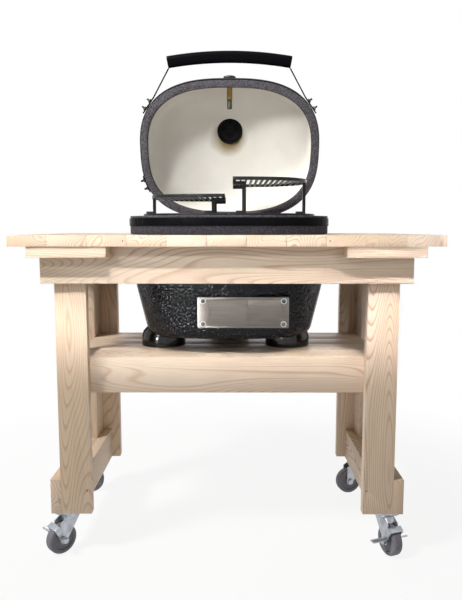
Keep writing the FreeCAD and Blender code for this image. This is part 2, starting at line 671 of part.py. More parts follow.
oval_ratio = v.rim_half_d / v.rim_half_w
gasket_bottom = v.rim_z - v.gasket_t
lid_bottom = v.rim_z + v.close_gap + v.gasket_t
lip_bottom = v.rim_z - v.lip_drop
lean = math.radians(v.base_lean)
shoulder_z = v.rim_z + v.lid_straight
crown_z = v.rim_z + v.lid_rise


def arc_stations(middle_w, middle_z, radius, first, last, steps):
    """Stations along an arc; angles in radians from the outward horizontal."""
    stations = []
    for step in range(steps + 1):
        turn = first + (last - first) * step / steps
        out_w, out_z = math.cos(turn), math.sin(turn)
        stations.append((middle_w + radius * out_w, middle_z + radius * out_z, out_w, out_z))
    return stations


def base_stations(top, inset=0.0):
    """A level floor, a corner, a side that leans outward, a wide bend and an upright side."""
    knee = arc_stations(body_half_w - v.base_knee_r, v.base_knee_z, v.base_knee_r, -lean, 0, 4)
    low_w, low_z = knee[0][:2]
    radius = max(v.base_corner, inset + v.corner_in)
    corner_z = v.base_bottom + radius
    along = (low_z + radius * math.sin(lean) - corner_z) / math.cos(lean)
    corner_w = low_w - along * math.sin(lean) - radius * math.cos(lean)
    stations = arc_stations(corner_w, corner_z, radius, -math.pi / 2, -lean, 5) + knee
    stations.append((body_half_w, top, 1.0, 0.0))
    return stations


def body_half_at(z):
    """Half width of the bowl's outside at a height, between two of its stations."""
    outside = base_stations(gasket_bottom)
    for (low_w, low_z, *_), (high_w, high_z, *_) in zip(outside, outside[1:]):
        if low_z <= z <= high_z:
            return low_w + (high_w - low_w) * (z - low_z) / (high_z - low_z)


def lid_stations(bottom):
    """An upright wall, a shoulder arc and a flatter crown arc that runs on from it."""
    middle_w = v.rim_half_w - v.lid_shoulder
    drop = crown_z - shoulder_z
    crown_r = (middle_w**2 + drop**2 - v.lid_shoulder**2) / (2 * (drop - v.lid_shoulder))
    crown_middle = crown_z - crown_r
    meet = math.atan2(shoulder_z - crown_middle, middle_w)
    close = math.acos(v.crown_flat / crown_r)
    stations = [(v.rim_half_w, bottom, 1.0, 0.0)]
    stations += arc_stations(middle_w, shoulder_z, v.lid_shoulder, 0, meet, 5)
    stations += arc_stations(0, crown_middle, crown_r, meet, close, 4)[1:]
    return stations


def bowl(stations, inset=0.0):
    """A solid through ovals, drawn in from the stations by the inset."""
    wires = []
    for half_w, z, out_w, out_z in stations:
        half_d = half_w * oval_ratio - inset * out_w
        wires.append(oval_wire(half_w - inset * out_w, half_d, z - inset * out_z))
    return Part.makeLoft(wires, True, True)


def cuboid(x, y, z):
    """A box from (low, high) pairs."""
    return Part.makeBox(x[1] - x[0], y[1] - y[0], z[1] - z[0], FreeCAD.Vector(x[0], y[0], z[0]))


# Bowl, and the level pad with an opening that is let into its wall for the draft doors
draft_x = v.draft_x - v.grill_x
pad_top = v.draft_z + v.draft_h / 2 + v.draft_pad
pad_y = -(body_half_at(pad_top) * oval_ratio) - v.pad_proud
opening_half_w = v.draft_w / 2 - v.draft_side - v.draft_margin
opening_half_h = v.draft_h / 2 - v.draft_margin
pad_half_w = v.draft_w / 2 + v.draft_pad
draft_opening = cuboid(
    (draft_x - opening_half_w, draft_x + opening_half_w),
    (pad_y - v.wall, pad_y + 3 * v.wall),
    (v.draft_z - opening_half_h, v.draft_z + opening_half_h),
)
pad = cuboid(
    (draft_x - pad_half_w, draft_x + pad_half_w),
    (pad_y, pad_y + 3 * v.wall),
    (v.draft_z - v.draft_h / 2 - v.draft_pad, pad_top),
)
base_outside = bowl(base_stations(gasket_bottom))
lip = oval_block(v.rim_half_w, v.rim_half_d, lip_bottom, gasket_bottom)
base_inside = bowl(base_stations(v.rim_z + v.wall, v.wall), v.wall)
base_shell = base_outside.fuse(lip).cut(base_inside).cut(pad)
in_grill(feature("base_shell", base_shell.removeSplitter()), "base_shell")
draft_pad = pad.cut(base_inside).cut(draft_opening)
in_grill(feature("draft_pad", draft_pad.removeSplitter()), "draft_pad")

gasket_half_w = v.rim_half_w - v.gasket_w
gasket_half_d = v.rim_half_d - v.gasket_w
in_grill(feature("base_gasket", oval_ring(gasket_half_w, gasket_half_d, v.gasket_w - v.band_gap,
                                          gasket_bottom, v.rim_z)), "base_gasket")
band_half_w = v.rim_half_w + v.band_gap
band_half_d = v.rim_half_d + v.band_gap
band_top = v.rim_z - v.base_band_top
base_band = oval_ring(band_half_w, band_half_d, v.band_t, band_top - v.base_band_w, band_top)
for x in (v.slot_x, v.slot_x + v.slot_pitch):
    for middle in (-x, x):
        base_band = base_band.cut(cuboid(
            (middle - v.slot_w / 2, middle + v.slot_w / 2), (-v.rim_half_d, -v.slot_w),
            (band_top - v.base_band_w + v.slot_w, band_top - v.slot_w)))
in_grill(feature("base_band", base_band), "base_band")

# Firebox inside the bowl: a floor slab, and walls on it with a ledge for the charcoal grate and a
# mouth for the draft. The fire ring stands on the walls and carries the cooking grates
firebox_inset = v.wall + v.firebox_gap
firebox_top = v.rim_z - v.grate_sink
firebox_base = v.base_bottom + v.wall
firebox_outside = bowl(base_stations(firebox_top, firebox_inset), firebox_inset)
floor_half_w = base_stations(firebox_top, firebox_inset)[0][0]
foot_half_w = floor_half_w - v.wall
foot_half_d = floor_half_w * oval_ratio - v.wall
firebox_foot = oval_block(foot_half_w, foot_half_d, firebox_base, firebox_base + 2 * v.firebox_gap)
hollow_inset = firebox_inset + v.firebox_wall
firebox_inside = bowl(base_stations(v.rim_z + v.wall, hollow_inset), hollow_inset)
firebox = firebox_outside.fuse(firebox_foot).cut(firebox_inside)
ledge_half_w = body_half_at(v.coal_z) - hollow_inset
ledge_half_d = body_half_at(v.coal_z) * oval_ratio - hollow_inset
ledge = oval_ring(ledge_half_w - v.coal_ledge, ledge_half_d - v.coal_ledge,
                  v.coal_ledge + v.firebox_gap, v.coal_z - v.coal_ledge, v.coal_z)
floor_top = v.base_bottom + hollow_inset
mouth = cuboid(
    (draft_x - opening_half_w - v.mouth_side, draft_x + opening_half_w + v.mouth_side),
    (pad_y - v.wall, pad_y + 4 * v.wall),
    (floor_top, v.coal_z - v.coal_ledge),
)
firebox = firebox.fuse(ledge).cut(mouth)
for name, low, high in (
    ("firebox_floor", v.base_bottom, floor_top),
    ("firebox", floor_top, v.coal_z + v.ring_up),
    ("fire_ring", v.coal_z + v.ring_up, v.rim_z),
):
    layer = cuboid((-v.rim_half_w, v.rim_half_w), (-v.rim_half_d, v.rim_half_d), (low, high))
    in_grill(feature(name, firebox.common(layer).removeSplitter()), name)


def half_oval_wire(half_w, half_d, x_edge, sign, z):
    """The part of an oval beyond a straight edge, on the plus or minus side."""
    steps = 24
    edge_turn = math.acos((x_edge / half_w) ** (v.oval_power / 2))
    points = []
    for step in range(steps + 1):
        turn = edge_turn * (1 - 2 * step / steps)
        x = half_w * fullness(math.cos(turn))
        points.append(FreeCAD.Vector(sign * x, half_d * fullness(math.sin(turn)), z))
    curve = Part.BSplineCurve()
    curve.interpolate(points)
    return Part.Wire([curve.toShape(), Part.LineSegment(points[-1], points[0]).toShape()])


def slots(half_w, half_d, bar_w, pitch, x_low, x_high, z, spine=0.0):
    """Long holes from front to back inside an oval; a spine across parts them in two."""
    count = round((x_high - x_low + bar_w) / pitch)
    step = (x_high - x_low + bar_w) / count
    wires = []
    for index in range(count):
        left = x_low + index * step
        right = left + step - bar_w
        ends = [(x, oval_half_depth(x, half_w, half_d)) for x in (left, right)]
        if spine:
            for way in (-1, 1):
                corners = [(left, way * spine / 2), (right, way * spine / 2)]
                corners += [(x, way * y) for x, y in reversed(ends)]
                wires.append(outline(corners, z))
        else:
            corners = [(x, -y) for x, y in ends] + [(x, y) for x, y in reversed(ends)]
            wires.append(outline(corners, z))
    return wires


def outline(corners, z):
    points = [FreeCAD.Vector(x, y, z) for x, y in corners]
    return Part.makePolygon(points + points[:1])


def half_grid(frame_w, bar_w, pitch, half_w, half_d, low, high, x_edge, sign):
    """Half an oval grid with a straight inner edge and bars from front to back."""
    inner_w = half_w - frame_w
    near = x_edge + frame_w
    far = inner_w - frame_w / 4
    x_low, x_high = (near, far) if sign > 0 else (-far, -near)
    holes = slots(inner_w, half_d - frame_w, bar_w, pitch, x_low, x_high, low)
    return extruded([half_oval_wire(half_w, half_d, x_edge, sign, low)] + holes, low, high)


# Charcoal grate, cooking grates and the two raised racks
coal_half_w = ledge_half_w - v.coal_gap
coal_half_d = ledge_half_d - v.coal_gap
coal_top = v.coal_z + v.coal_t
coal_in = coal_half_w - v.coal_ledge
coal_far = coal_in - v.coal_ledge / 4
coal_holes = slots(coal_in, coal_half_d - v.coal_ledge, v.grate_frame, 2 * v.grate_frame,
                   -coal_far, coal_far, v.coal_z, v.grate_frame)
charcoal_grate = extruded([oval_wire(coal_half_w, coal_half_d, v.coal_z)] + coal_holes,
                          v.coal_z, coal_top)
in_grill(feature("charcoal_grate", charcoal_grate), "charcoal_grate")

grate_half_w = body_half_w - v.wall - v.grate_gap
grate_half_d = body_half_w * oval_ratio - v.wall - v.grate_gap
grate_top = firebox_top + v.grate_frame
for name, sign in (("left_grate", -1), ("right_grate", 1)):
    shape = half_grid(v.grate_frame, v.bar_w, v.bar_pitch, grate_half_w, grate_half_d,
                      firebox_top, grate_top, v.grate_split, sign)
    in_grill(feature(name, shape), name)


def rack(sign, top, outer_foot):
    """A half-oval rack on three legs: two by its straight edge and one at its far end."""
    under = top - v.rack_rod
    shape = half_grid(v.rack_rod, v.rack_bar, v.rack_pitch, v.rack_half_w, v.rack_half_d,
                      under, top, v.rack_in, sign)
    half = v.rack_rod / 2
    pieces = []
    for x, y, foot_low, foot_high in (
        (sign * v.rack_leg_x, -v.rack_leg_y, -v.rack_foot, half),
        (sign * v.rack_leg_x, v.rack_leg_y, -v.rack_foot, half),
        (sign * (v.rack_half_w - half), 0.0, *outer_foot),
    ):
        pieces.append(cuboid((x - half, x + half), (y - half, y + half), (grate_top, under)))
        pieces.append(cuboid((x + foot_low, x + foot_high), (y - half, y + half),
                             (grate_top, grate_top + v.rack_rod)))
    for y in (-v.rack_leg_y, v.rack_leg_y):
        reach = sorted((sign * v.rack_in, sign * v.rack_leg_x + sign * half))
        pieces.append(cuboid(reach, (y - half, y + half), (under - v.rack_rod, under)))
    return shape.multiFuse(pieces).removeSplitter()


half_rod = v.rack_rod / 2
in_grill(feature("low_rack", rack(-1, v.low_rack_z, (-v.rack_foot, half_rod))), "low_rack")
in_grill(feature("high_rack", rack(1, v.high_rack_z, (-v.rack_foot, half_rod))), "high_rack")

# Shoes between the bowl and the shelf
shoe_profile = [
    Part.LineSegment(FreeCAD.Vector(0, 0, 0), FreeCAD.Vector(v.shoe_r, 0, 0)).toShape(),
    Part.LineSegment(FreeCAD.Vector(v.shoe_r, 0, 0),
                     FreeCAD.Vector(v.shoe_r, 0, v.shoe_side)).toShape(),
    Part.Arc(FreeCAD.Vector(v.shoe_r, 0, v.shoe_side),
             FreeCAD.Vector(v.shoe_bulge_r, 0, v.shoe_bulge_z),
             FreeCAD.Vector(0, 0, v.shoe_high)).toShape(),
    Part.LineSegment(FreeCAD.Vector(0, 0, v.shoe_high), FreeCAD.Vector(0, 0, 0)).toShape(),
]
shoe_face = Part.Face(Part.Wire(shoe_profile))
seat = bowl(base_stations(gasket_bottom), -v.shoe_gap)
shoes = []
for x, y in ((-v.shoe_left, 0.0), (v.shoe_right, 0.0), (0.0, v.shoe_rear)):
    shoe = shoe_face.revolve(FreeCAD.Vector(), AXIS_Z, 360)
    shoe.translate(FreeCAD.Vector(x, y, v.shelf_height))
    shoes.append(shoe.cut(seat))
in_grill(feature("shoes", Part.makeCompound(shoes)), "shoes")

# Draft plate, its two sliding doors and its screws
plate_y = pad_y - v.draft_t
rail_half_w = v.draft_w / 2 - v.draft_side - v.door_gap
rail_out = v.draft_h / 2 - v.draft_t
rail_in = rail_out - v.draft_rail
front_layer = plate_y - 2 * v.door_gap - v.door_t
rail_front = front_layer - v.door_t - v.door_gap


def draft_box(x, y, z):
    """A box given from the draft plate's centre."""
    return cuboid((draft_x + x[0], draft_x + x[1]), y, (v.draft_z + z[0], v.draft_z + z[1]))


draft_frame = draft_box((-v.draft_w / 2, v.draft_w / 2), (plate_y, pad_y),
                        (-v.draft_h / 2, v.draft_h / 2))
upright = [edge for edge in draft_frame.Edges
           if edge.BoundBox.YLength > v.draft_t / 2 and edge.BoundBox.XLength < v.draft_t / 2]
draft_frame = draft_frame.makeFillet(v.draft_pad, upright)
draft_frame = draft_frame.cut(draft_opening)
for sign in (-1, 1):
    web = draft_box((-rail_half_w, rail_half_w), (rail_front - v.draft_t, plate_y),
                    sorted((sign * rail_out, sign * (rail_out - v.draft_t))))
    flange = draft_box((-rail_half_w, rail_half_w), (rail_front - v.draft_t, rail_front),
                       sorted((sign * rail_out, sign * rail_in)))
    draft_frame = draft_frame.fuse(web).fuse(flange)
screw_x = v.draft_w / 2 - v.draft_screw_in
screw_z = v.draft_h / 2 - v.draft_screw_down
draft_screws = []
for x in (-screw_x, screw_x):
    for z in (-screw_z, screw_z):
        at = FreeCAD.Vector(draft_x + x, plate_y, v.draft_z + z)
        draft_screws.append(Part.makeCone(v.draft_screw_r, v.draft_screw_top_r, v.draft_screw_h,
                                          at, FreeCAD.Vector(0, -1, 0)))
in_grill(feature("draft_frame", draft_frame.removeSplitter()), "draft_frame")
in_grill(feature("draft_screws", Part.makeCompound(draft_screws)), "draft_screws")

door_half_h = rail_out - v.draft_t - v.door_gap
door_half_w = rail_half_w - v.door_gap
left_door = draft_box((-door_half_w, v.door_seam + v.door_lap),
                      (front_layer + v.door_gap, plate_y - v.door_gap), (-door_half_h, door_half_h))
left_tab = draft_box((-door_half_w + v.door_lap, -door_half_w + v.door_lap + v.door_t),
                     (plate_y - v.door_tab, plate_y - v.door_gap), (-v.door_tab, v.door_tab))
right_door = draft_box((v.door_seam, door_half_w),
                       (front_layer - v.door_t, front_layer), (-door_half_h, door_half_h))
right_tab = draft_box((v.door_seam, v.door_seam + v.door_t),
                      (front_layer - v.door_tab / 2, front_layer), (-2 * v.door_tab, 2 * v.door_tab))
in_grill(feature("left_draft_door", left_door.fuse(left_tab).removeSplitter()), "left_draft_door")
in_grill(feature("right_draft_door", right_door.fuse(right_tab).removeSplitter()),
         "right_draft_door")


# Lid, drawn shut


def along_axis(radius, low, high, y, z):
    """A cylinder along X between two places."""
    return Part.makeCylinder(radius, high - low, FreeCAD.Vector(low, y, z), AXIS_X)


lid_outside = bowl(lid_stations(lid_bottom))
lid_inside = bowl(lid_stations(lid_bottom - v.wall), v.wall)
chimney_hole = disc(v.chimney_r, shoulder_z, crown_z + v.wall, 0, v.chimney_y)

stem_z = v.rim_z + v.stem_up
rise = math.asin((stem_z - shoulder_z) / v.lid_shoulder)
stem_half_w = v.rim_half_w - v.lid_shoulder * (1 - math.cos(rise))
stem_point = FreeCAD.Vector(0, -stem_half_w * oval_ratio, stem_z)
stem_out = FreeCAD.Vector(0, -math.cos(rise) / oval_ratio, math.sin(rise)).normalize()


def on_stem(radius, low, high):
    """A cylinder about the thermometer's stem; zero is the dome, positive is outside."""
    return Part.makeCylinder(radius, high - low, stem_point + stem_out * low, stem_out)


lid_shell = lid_outside.cut(lid_inside).cut(chimney_hole)
lid_shell = lid_shell.cut(on_stem(v.stem_r + v.band_gap, -2 * v.wall, v.wall))
in_lid(feature("lid_shell", lid_shell.removeSplitter()), "lid_shell")
in_lid(feature("lid_gasket", oval_ring(gasket_half_w, gasket_half_d, v.gasket_w - v.band_gap,
                                       v.rim_z + v.close_gap, lid_bottom)), "lid_gasket")
lid_band_low = v.rim_z + v.lid_band_up
lid_band_high = lid_band_low + v.lid_band_w
in_lid(feature("lid_band", oval_ring(band_half_w, band_half_d, v.band_t,
                                     lid_band_low, lid_band_high)), "lid_band")

# Hinge: two ears behind the bowl, two arms behind the lid, and a bar that stops the lid
hinge_z = v.rim_z - v.hinge_drop
hinge_face = band_half_d + v.band_t
hinge_front = hinge_face + v.hinge_t
arm_in = v.hinge_x - v.hinge_t / 2
arm_out = v.hinge_x + v.hinge_t / 2
ear_in = arm_out + v.hinge_side_gap
ear_out = ear_in + v.hinge_t
arm_front = v.hinge_y - v.hinge_boss_r
arm_back = arm_front + v.hinge_arm_w
arm_rear = arm_back - v.hinge_y
open_turn = math.radians(v.lid_open)
stop_out = arm_rear + v.stop_r + v.band_gap
stop_y = v.hinge_y + v.stop_back * math.sin(open_turn) + stop_out * math.cos(open_turn)
stop_z = hinge_z + v.stop_back * math.cos(open_turn) - stop_out * math.sin(open_turn)
ear_low = hinge_z - v.hinge_boss_r
ear_high = stop_z + v.stop_r + v.band_t
half_plate = v.hinge_plate_w / 2

base_hinge = cuboid((-half_plate, half_plate), (hinge_face, hinge_front), (ear_low, band_top))
base_hinge = base_hinge.fuse(along_axis(v.stop_r, -ear_in, ear_in, stop_y, stop_z))
for low, high in ((ear_in, ear_out), (-ear_out, -ear_in)):
    base_hinge = base_hinge.fuse(side_plate(low, high, (
        (hinge_face, ear_low), (stop_y + v.stop_r + v.band_t, ear_low),
        (stop_y + v.stop_r + v.band_t, ear_high), (hinge_face, ear_high))))
    base_hinge = base_hinge.cut(along_axis(v.hinge_pin_r, low, high, v.hinge_y, hinge_z))
in_grill(feature("base_hinge", base_hinge.removeSplitter()), "base_hinge")

lid_hinge = cuboid((-half_plate, half_plate), (hinge_face, hinge_front),
                   (lid_band_low, lid_band_high))
pins = []
for low, high in ((arm_in, arm_out), (-arm_out, -arm_in)):
    lid_hinge = lid_hinge.fuse(side_plate(low, high, (
        (arm_front, hinge_z), (arm_front, band_top), (hinge_face, lid_band_low),
        (hinge_face, lid_band_high), (arm_back, lid_band_high), (arm_back, hinge_z))))
    lid_hinge = lid_hinge.fuse(along_axis(v.hinge_boss_r, low, high, v.hinge_y, hinge_z))
    lid_hinge = lid_hinge.cut(along_axis(v.hinge_pin_r + v.pin_gap, low, high, v.hinge_y, hinge_z))
for sign in (-1, 1):
    reach = sorted((sign * (arm_in - v.hinge_t), sign * (ear_out + v.hinge_t)))
    pins.append(along_axis(v.hinge_pin_r, *reach, v.hinge_y, hinge_z))
in_lid(feature("lid_hinge", lid_hinge.removeSplitter()), "lid_hinge")
in_grill(feature("hinge_pins", Part.makeCompound(pins)), "hinge_pins")


# Handle on two flat arms, bolted to the lid's band


def band_frame(turn, sign):
    """Where a plate lies against the band: its point, outward and forward directions."""
    point, out = oval_point(turn, band_half_w + v.band_t, band_half_d + v.band_t)
    point = point + out * v.band_gap
    forward = FreeCAD.Vector(out.y, -out.x, 0)
    mirror = FreeCAD.Vector(sign, 1, 1)
    return [FreeCAD.Vector(p.x * mirror.x, p.y, p.z) for p in (point, out, forward)]


def flat_bar(start, end, out, thickness, low, high):
    """An upright flat bar between two points, growing outward by its thickness."""
    corners = [start, end, end + out * thickness, start + out * thickness]
    corners = [FreeCAD.Vector(p.x, p.y, low) for p in corners]
    face = Part.Face(Part.makePolygon(corners + corners[:1]))
    return face.extrude(FreeCAD.Vector(0, 0, high - low))


arm_low = (lid_band_low + lid_band_high - v.arm_w) / 2
arm_high = arm_low + v.arm_w
grip_y = -(v.rim_half_d + v.grip_front)
grip_z = v.rim_z + v.grip_up
bow_r = (v.grip_half**2 + v.grip_bow**2) / (2 * v.grip_bow)
bow_middle = grip_y + bow_r
grip_end_y = bow_middle - math.sqrt(bow_r**2 - v.grip_half**2)


def bolt(point, out, z, through):
    """A bolt with a nut, standing outward from a plate on the band."""
    at = FreeCAD.Vector(point.x, point.y, z)
    shank = Part.makeCylinder(v.bolt_r, through + 3 * v.bolt_head_t, at, out)
    nut = Part.makeCylinder(v.bolt_head_r, v.bolt_head_t, at + out * through, out)
    return shank.fuse(nut).removeSplitter()


def bolted_plate(turn, sign, length, thickness):
    """A plate against the band with two bolts; gives the plate, the bolts and its ends."""
    point, out, forward = band_frame(turn, sign)
    start = point - forward * (length / 2)
    end = point + forward * (length / 2)
    plate = flat_bar(start, end, out, thickness, arm_low, arm_high)
    middle_z = (arm_low + arm_high) / 2
    bolts = []
    for along in (-v.bolt_pitch / 2, v.bolt_pitch / 2):
        spot = point + forward * along
        hole = Part.makeCylinder(v.bolt_r, thickness, FreeCAD.Vector(spot.x, spot.y, middle_z), out)
        plate = plate.cut(hole)
        bolts.append(bolt(spot, out, middle_z, thickness))
    return plate, bolts, end, out


brackets = []
handle_bolts = []
grip_rear_y = grip_end_y + v.grip_deep / 2
for sign in (-1, 1):
    foot, bolts, end, out = bolted_plate(v.arm_turn, sign, v.foot_length, v.arm_t)
    tip = FreeCAD.Vector(sign * (v.grip_half - v.arm_t), grip_rear_y + v.band_gap, 0)
    side_way = FreeCAD.Vector(sign, 0, 0)
    arm = flat_bar(end, tip, side_way, v.arm_t, arm_low, arm_high)
    brackets.append(foot.fuse(arm).removeSplitter())
    handle_bolts += bolts
clamp, bolts, _, _ = bolted_plate(v.clamp_turn, -1, v.foot_length, v.arm_t / 2)
in_lid(feature("handle_brackets", Part.makeCompound(brackets)), "handle_brackets")
in_lid(feature("handle_bolts", Part.makeCompound(handle_bolts)), "handle_bolts")
in_lid(feature("band_clamp", Part.makeCompound([clamp] + bolts)), "band_clamp")

section = cuboid((0, v.band_gap), (grip_y - v.grip_deep / 2, grip_y + v.grip_deep / 2),
                 (grip_z - v.grip_high / 2, grip_z + v.grip_high / 2))
section = section.makeFillet(v.grip_round, [e for e in section.Edges
                                            if e.BoundBox.XLength > v.band_gap / 2])
section_face = [face for face in section.Faces if face.BoundBox.XMax < v.band_gap / 2][0]
sweep = 2 * math.degrees(math.asin(v.grip_half / bow_r))
section_face.rotate(FreeCAD.Vector(0, bow_middle, 0), AXIS_Z, -sweep / 2)
grip = section_face.revolve(FreeCAD.Vector(0, bow_middle, 0), AXIS_Z, sweep)
in_lid(feature("handle_grip", grip), "handle_grip")

# Thermometer through the lid's front
case = on_stem(v.dial_r, v.dial_seat, v.dial_seat + v.dial_t)
shaft = on_stem(v.stem_r, -v.wall - v.stem_length, v.dial_seat)
tip = on_stem(v.tip_r, -v.wall - v.stem_length, -v.wall - 2 * v.nut_seat - v.nut_t)
in_lid(feature("thermometer", case.fuse(shaft).fuse(tip).removeSplitter()), "thermometer")
sleeve = on_stem(v.nut_r, -v.wall - v.nut_seat - v.nut_t, -v.wall - v.nut_seat)
in_lid(feature("thermometer_sleeve", sleeve.cut(on_stem(v.stem_r, -2 * v.stem_length, 0))),
       "thermometer_sleeve")

# Chimney ring on the crown and the cap that turns on it
ring_top = crown_z + v.chimney_rise
ring_r = v.chimney_r - v.band_gap
flange = disc(v.chimney_flange_r, crown_z - v.wall, ring_top, 0, v.chimney_y)
flange = flange.cut(lid_outside)
neck = disc(ring_r, crown_z - v.wall - v.chimney_rise, ring_top, 0, v.chimney_y)
bore = disc(ring_r - v.chimney_wall, crown_z - 2 * v.wall, ring_top - v.vent_plate_t,
            0, v.chimney_y)
ring = flange.fuse(neck).cut(bore)


def vents(turn, low, high):
    """The damper's holes, turned about the chimney's axis."""
    holes = []
    for index in range(int(v.vent_count)):
        angle = math.radians(turn + index * 360 / v.vent_count)
        x = v.vent_circle * math.cos(angle)
        y = v.chimney_y + v.vent_circle * math.sin(angle)
        holes.append(disc(v.vent_r, low, high, x, y))
    return Part.makeCompound(holes)


half_turn = 180 / v.vent_count
ring = ring.cut(vents(0, ring_top - v.vent_plate_t, ring_top))
cap_low = ring_top + v.swivel_gap
cap_high = cap_low + v.cap_t
pivot = disc(v.cap_pin_r, ring_top, cap_high + v.swivel_gap, 0, v.chimney_y)
pivot_head = disc(2 * v.cap_pin_r, cap_high + v.swivel_gap, cap_high + v.cap_t / 2, 0, v.chimney_y)
in_lid(feature("chimney_ring", ring.fuse(pivot).fuse(pivot_head).removeSplitter()), "chimney_ring")
cap = disc(v.cap_r, cap_low, cap_high, 0, v.chimney_y)
cap = cap.makeChamfer(v.cap_t / 2, [edge for edge in cap.Edges
                                    if edge.Closed and edge.BoundBox.ZMin > cap_low + v.band_gap])
tab = cuboid((-v.cap_tab / 2, v.cap_tab / 2), (v.chimney_y - v.cap_r - v.cap_tab, v.chimney_y),
             (cap_low, cap_low + v.cap_t / 2))
cap = cap.fuse(tab).cut(vents(half_turn, cap_low, cap_high))
cap = cap.cut(disc(v.cap_pin_r + v.pin_gap, cap_low, cap_high, 0, v.chimney_y))
in_lid(feature("damper_cap", cap.removeSplitter()), "damper_cap")


# Check every object, then write one file for each node
doc.recompute()
for thing in doc.Objects:
    if "Invalid" in thing.State or "Error" in thing.State:
        raise RuntimeError(f"{thing.Label} failed to build: {thing.State}")
for thing in nodes:
    if thing.Shape.isNull() or not thing.Shape.isValid():
        raise RuntimeError(f"{thing.Label} has no valid shape")
for thing in nodes:
    thing.Shape.exportStep(f"parts/{thing.Label}.step")
print(len(nodes), "nodes written")
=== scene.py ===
# %% [markdown]
# A kamado grill sits in a wooden table with its lid open. The solids come from CAD and are the
# fixed frame: they say where each piece is and on which moving body it rides. This lesson gives
# them eased edges, glazes, grain and light, one kind of piece at a time. Lengths are in metres,
# with +X to the right, +Y to the rear and +Z up. Sizes taken from the CAD are written in
# millimetres and multiplied by MM.

# %% Load the frame
import json
import math

import bmesh
import bpy
from mathutils import Matrix, Vector


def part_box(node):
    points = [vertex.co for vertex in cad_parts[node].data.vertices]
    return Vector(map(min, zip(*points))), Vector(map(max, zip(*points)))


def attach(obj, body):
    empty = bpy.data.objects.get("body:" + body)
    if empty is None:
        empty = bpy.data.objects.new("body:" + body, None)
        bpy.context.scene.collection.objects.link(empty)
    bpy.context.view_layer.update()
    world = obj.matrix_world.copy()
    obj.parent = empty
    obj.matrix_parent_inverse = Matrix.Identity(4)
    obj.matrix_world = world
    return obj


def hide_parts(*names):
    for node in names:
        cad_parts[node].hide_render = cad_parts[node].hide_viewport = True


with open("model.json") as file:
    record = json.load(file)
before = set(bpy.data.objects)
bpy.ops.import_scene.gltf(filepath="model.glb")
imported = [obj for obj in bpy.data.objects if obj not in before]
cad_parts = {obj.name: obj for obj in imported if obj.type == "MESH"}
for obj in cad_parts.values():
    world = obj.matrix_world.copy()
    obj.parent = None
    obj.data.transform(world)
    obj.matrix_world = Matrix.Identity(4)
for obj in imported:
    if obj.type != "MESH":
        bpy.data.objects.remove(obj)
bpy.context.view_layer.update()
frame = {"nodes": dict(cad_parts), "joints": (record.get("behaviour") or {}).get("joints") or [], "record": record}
MM = 0.001
body_of = {node: body for body, nodes in frame["record"]["behaviour"]["bodies"].items()
           for node in nodes}
slot_of = {part["node"]: part["material_slot"] for part in frame["record"]["subparts"]}

# %% [markdown]
# Every piece below starts from a place in the CAD, so these few points tie them to it: the table's
# middle, the grill's middle, and the hinge that the lid swings on. The lid could be modelled where
# it stands, tilted back, but every ring of it would then need turning. It is easier to model shut,
# and one matrix then swings it open by the angle that the CAD has.

# %% Places
planks_low, planks_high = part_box("left_planks")
band_low, band_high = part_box("base_band")
TABLE_Y = (planks_low.y + planks_high.y) / 2
GRILL_X = (band_low.x + band_high.x) / 2
LID_OPEN = math.radians(70.2)
hinge = next(j for j in frame["joints"] if j["name"] == "lid_hinge_turn")
hinge_at = Vector(hinge["pos_m"])
swing = Matrix.Translation(hinge_at) @ Matrix.Rotation(-LID_OPEN, 4, "X")
shut_to_open = swing @ Matrix.Translation(-hinge_at)
grill_place = Matrix.Translation((GRILL_X, TABLE_Y, 0))
lid_place = shut_to_open @ grill_place
print("table y", round(TABLE_Y, 5), "grill x", round(GRILL_X, 5), "hinge", tuple(hinge_at))

# %% [markdown]
# A colour is written as sRGB hex, as in any paint program, but shaders work in linear light, where
# half the number is half the light. Typed in as it is, a hex colour would come out pale, so one
# function turns it to linear first.

# %% Colour helper


def colour(code):
    """An sRGB hex colour as linear RGBA."""
    channels = [int(code[i:i + 2], 16) / 255 for i in (1, 3, 5)]
    return [c / 12.92 if c <= 0.04045 else ((c + 0.055) / 1.055) ** 2.4 for c in channels] + [1.0]


print("black is", colour("#000000")[:3], "white is", colour("#FFFFFF")[:3])

# %% [markdown]
# A material is a tree of nodes. By hand it would be dragged together in the shader editor. In a
# script one small function adds a node, sets it up and links its inputs, so that each material
# below reads as a list of what it is made of.

# %% Node helpers


def add(tree, kind, inputs=None, **settings):
    """Add a shader node; an input is a value, or the socket that feeds it."""
    made = tree.nodes.new(kind)
    for name, value in settings.items():
        setattr(made, name, value)
    for name, value in (inputs or {}).items():
        if isinstance(value, bpy.types.NodeSocket):
            tree.links.new(value, made.inputs[name])
        else:
            made.inputs[name].default_value = value
    return made


def start_material(name, **values):
    """A material with an empty Principled shader; returns it, its tree, shader and coordinates."""
    material = bpy.data.materials.new(name)
    material.use_nodes = True
    tree = material.node_tree
    shader = tree.nodes["Principled BSDF"]
    for socket, value in values.items():
        shader.inputs[socket.replace("_", " ")].default_value = value
    place = add(tree, "ShaderNodeTexCoord").outputs["Object"]
    return material, tree, shader, place


print("node helpers ready")

# %% [markdown]
# Nearly every finish comes down to three steps. A pattern gives a number at each point, a ramp
# turns that number into a share, and the share blends two colours or lifts a bump. A bump only
# tilts the light on the surface, which is enough for what is finer than a millimetre or so.

# %% Blend, ramp and bump helpers


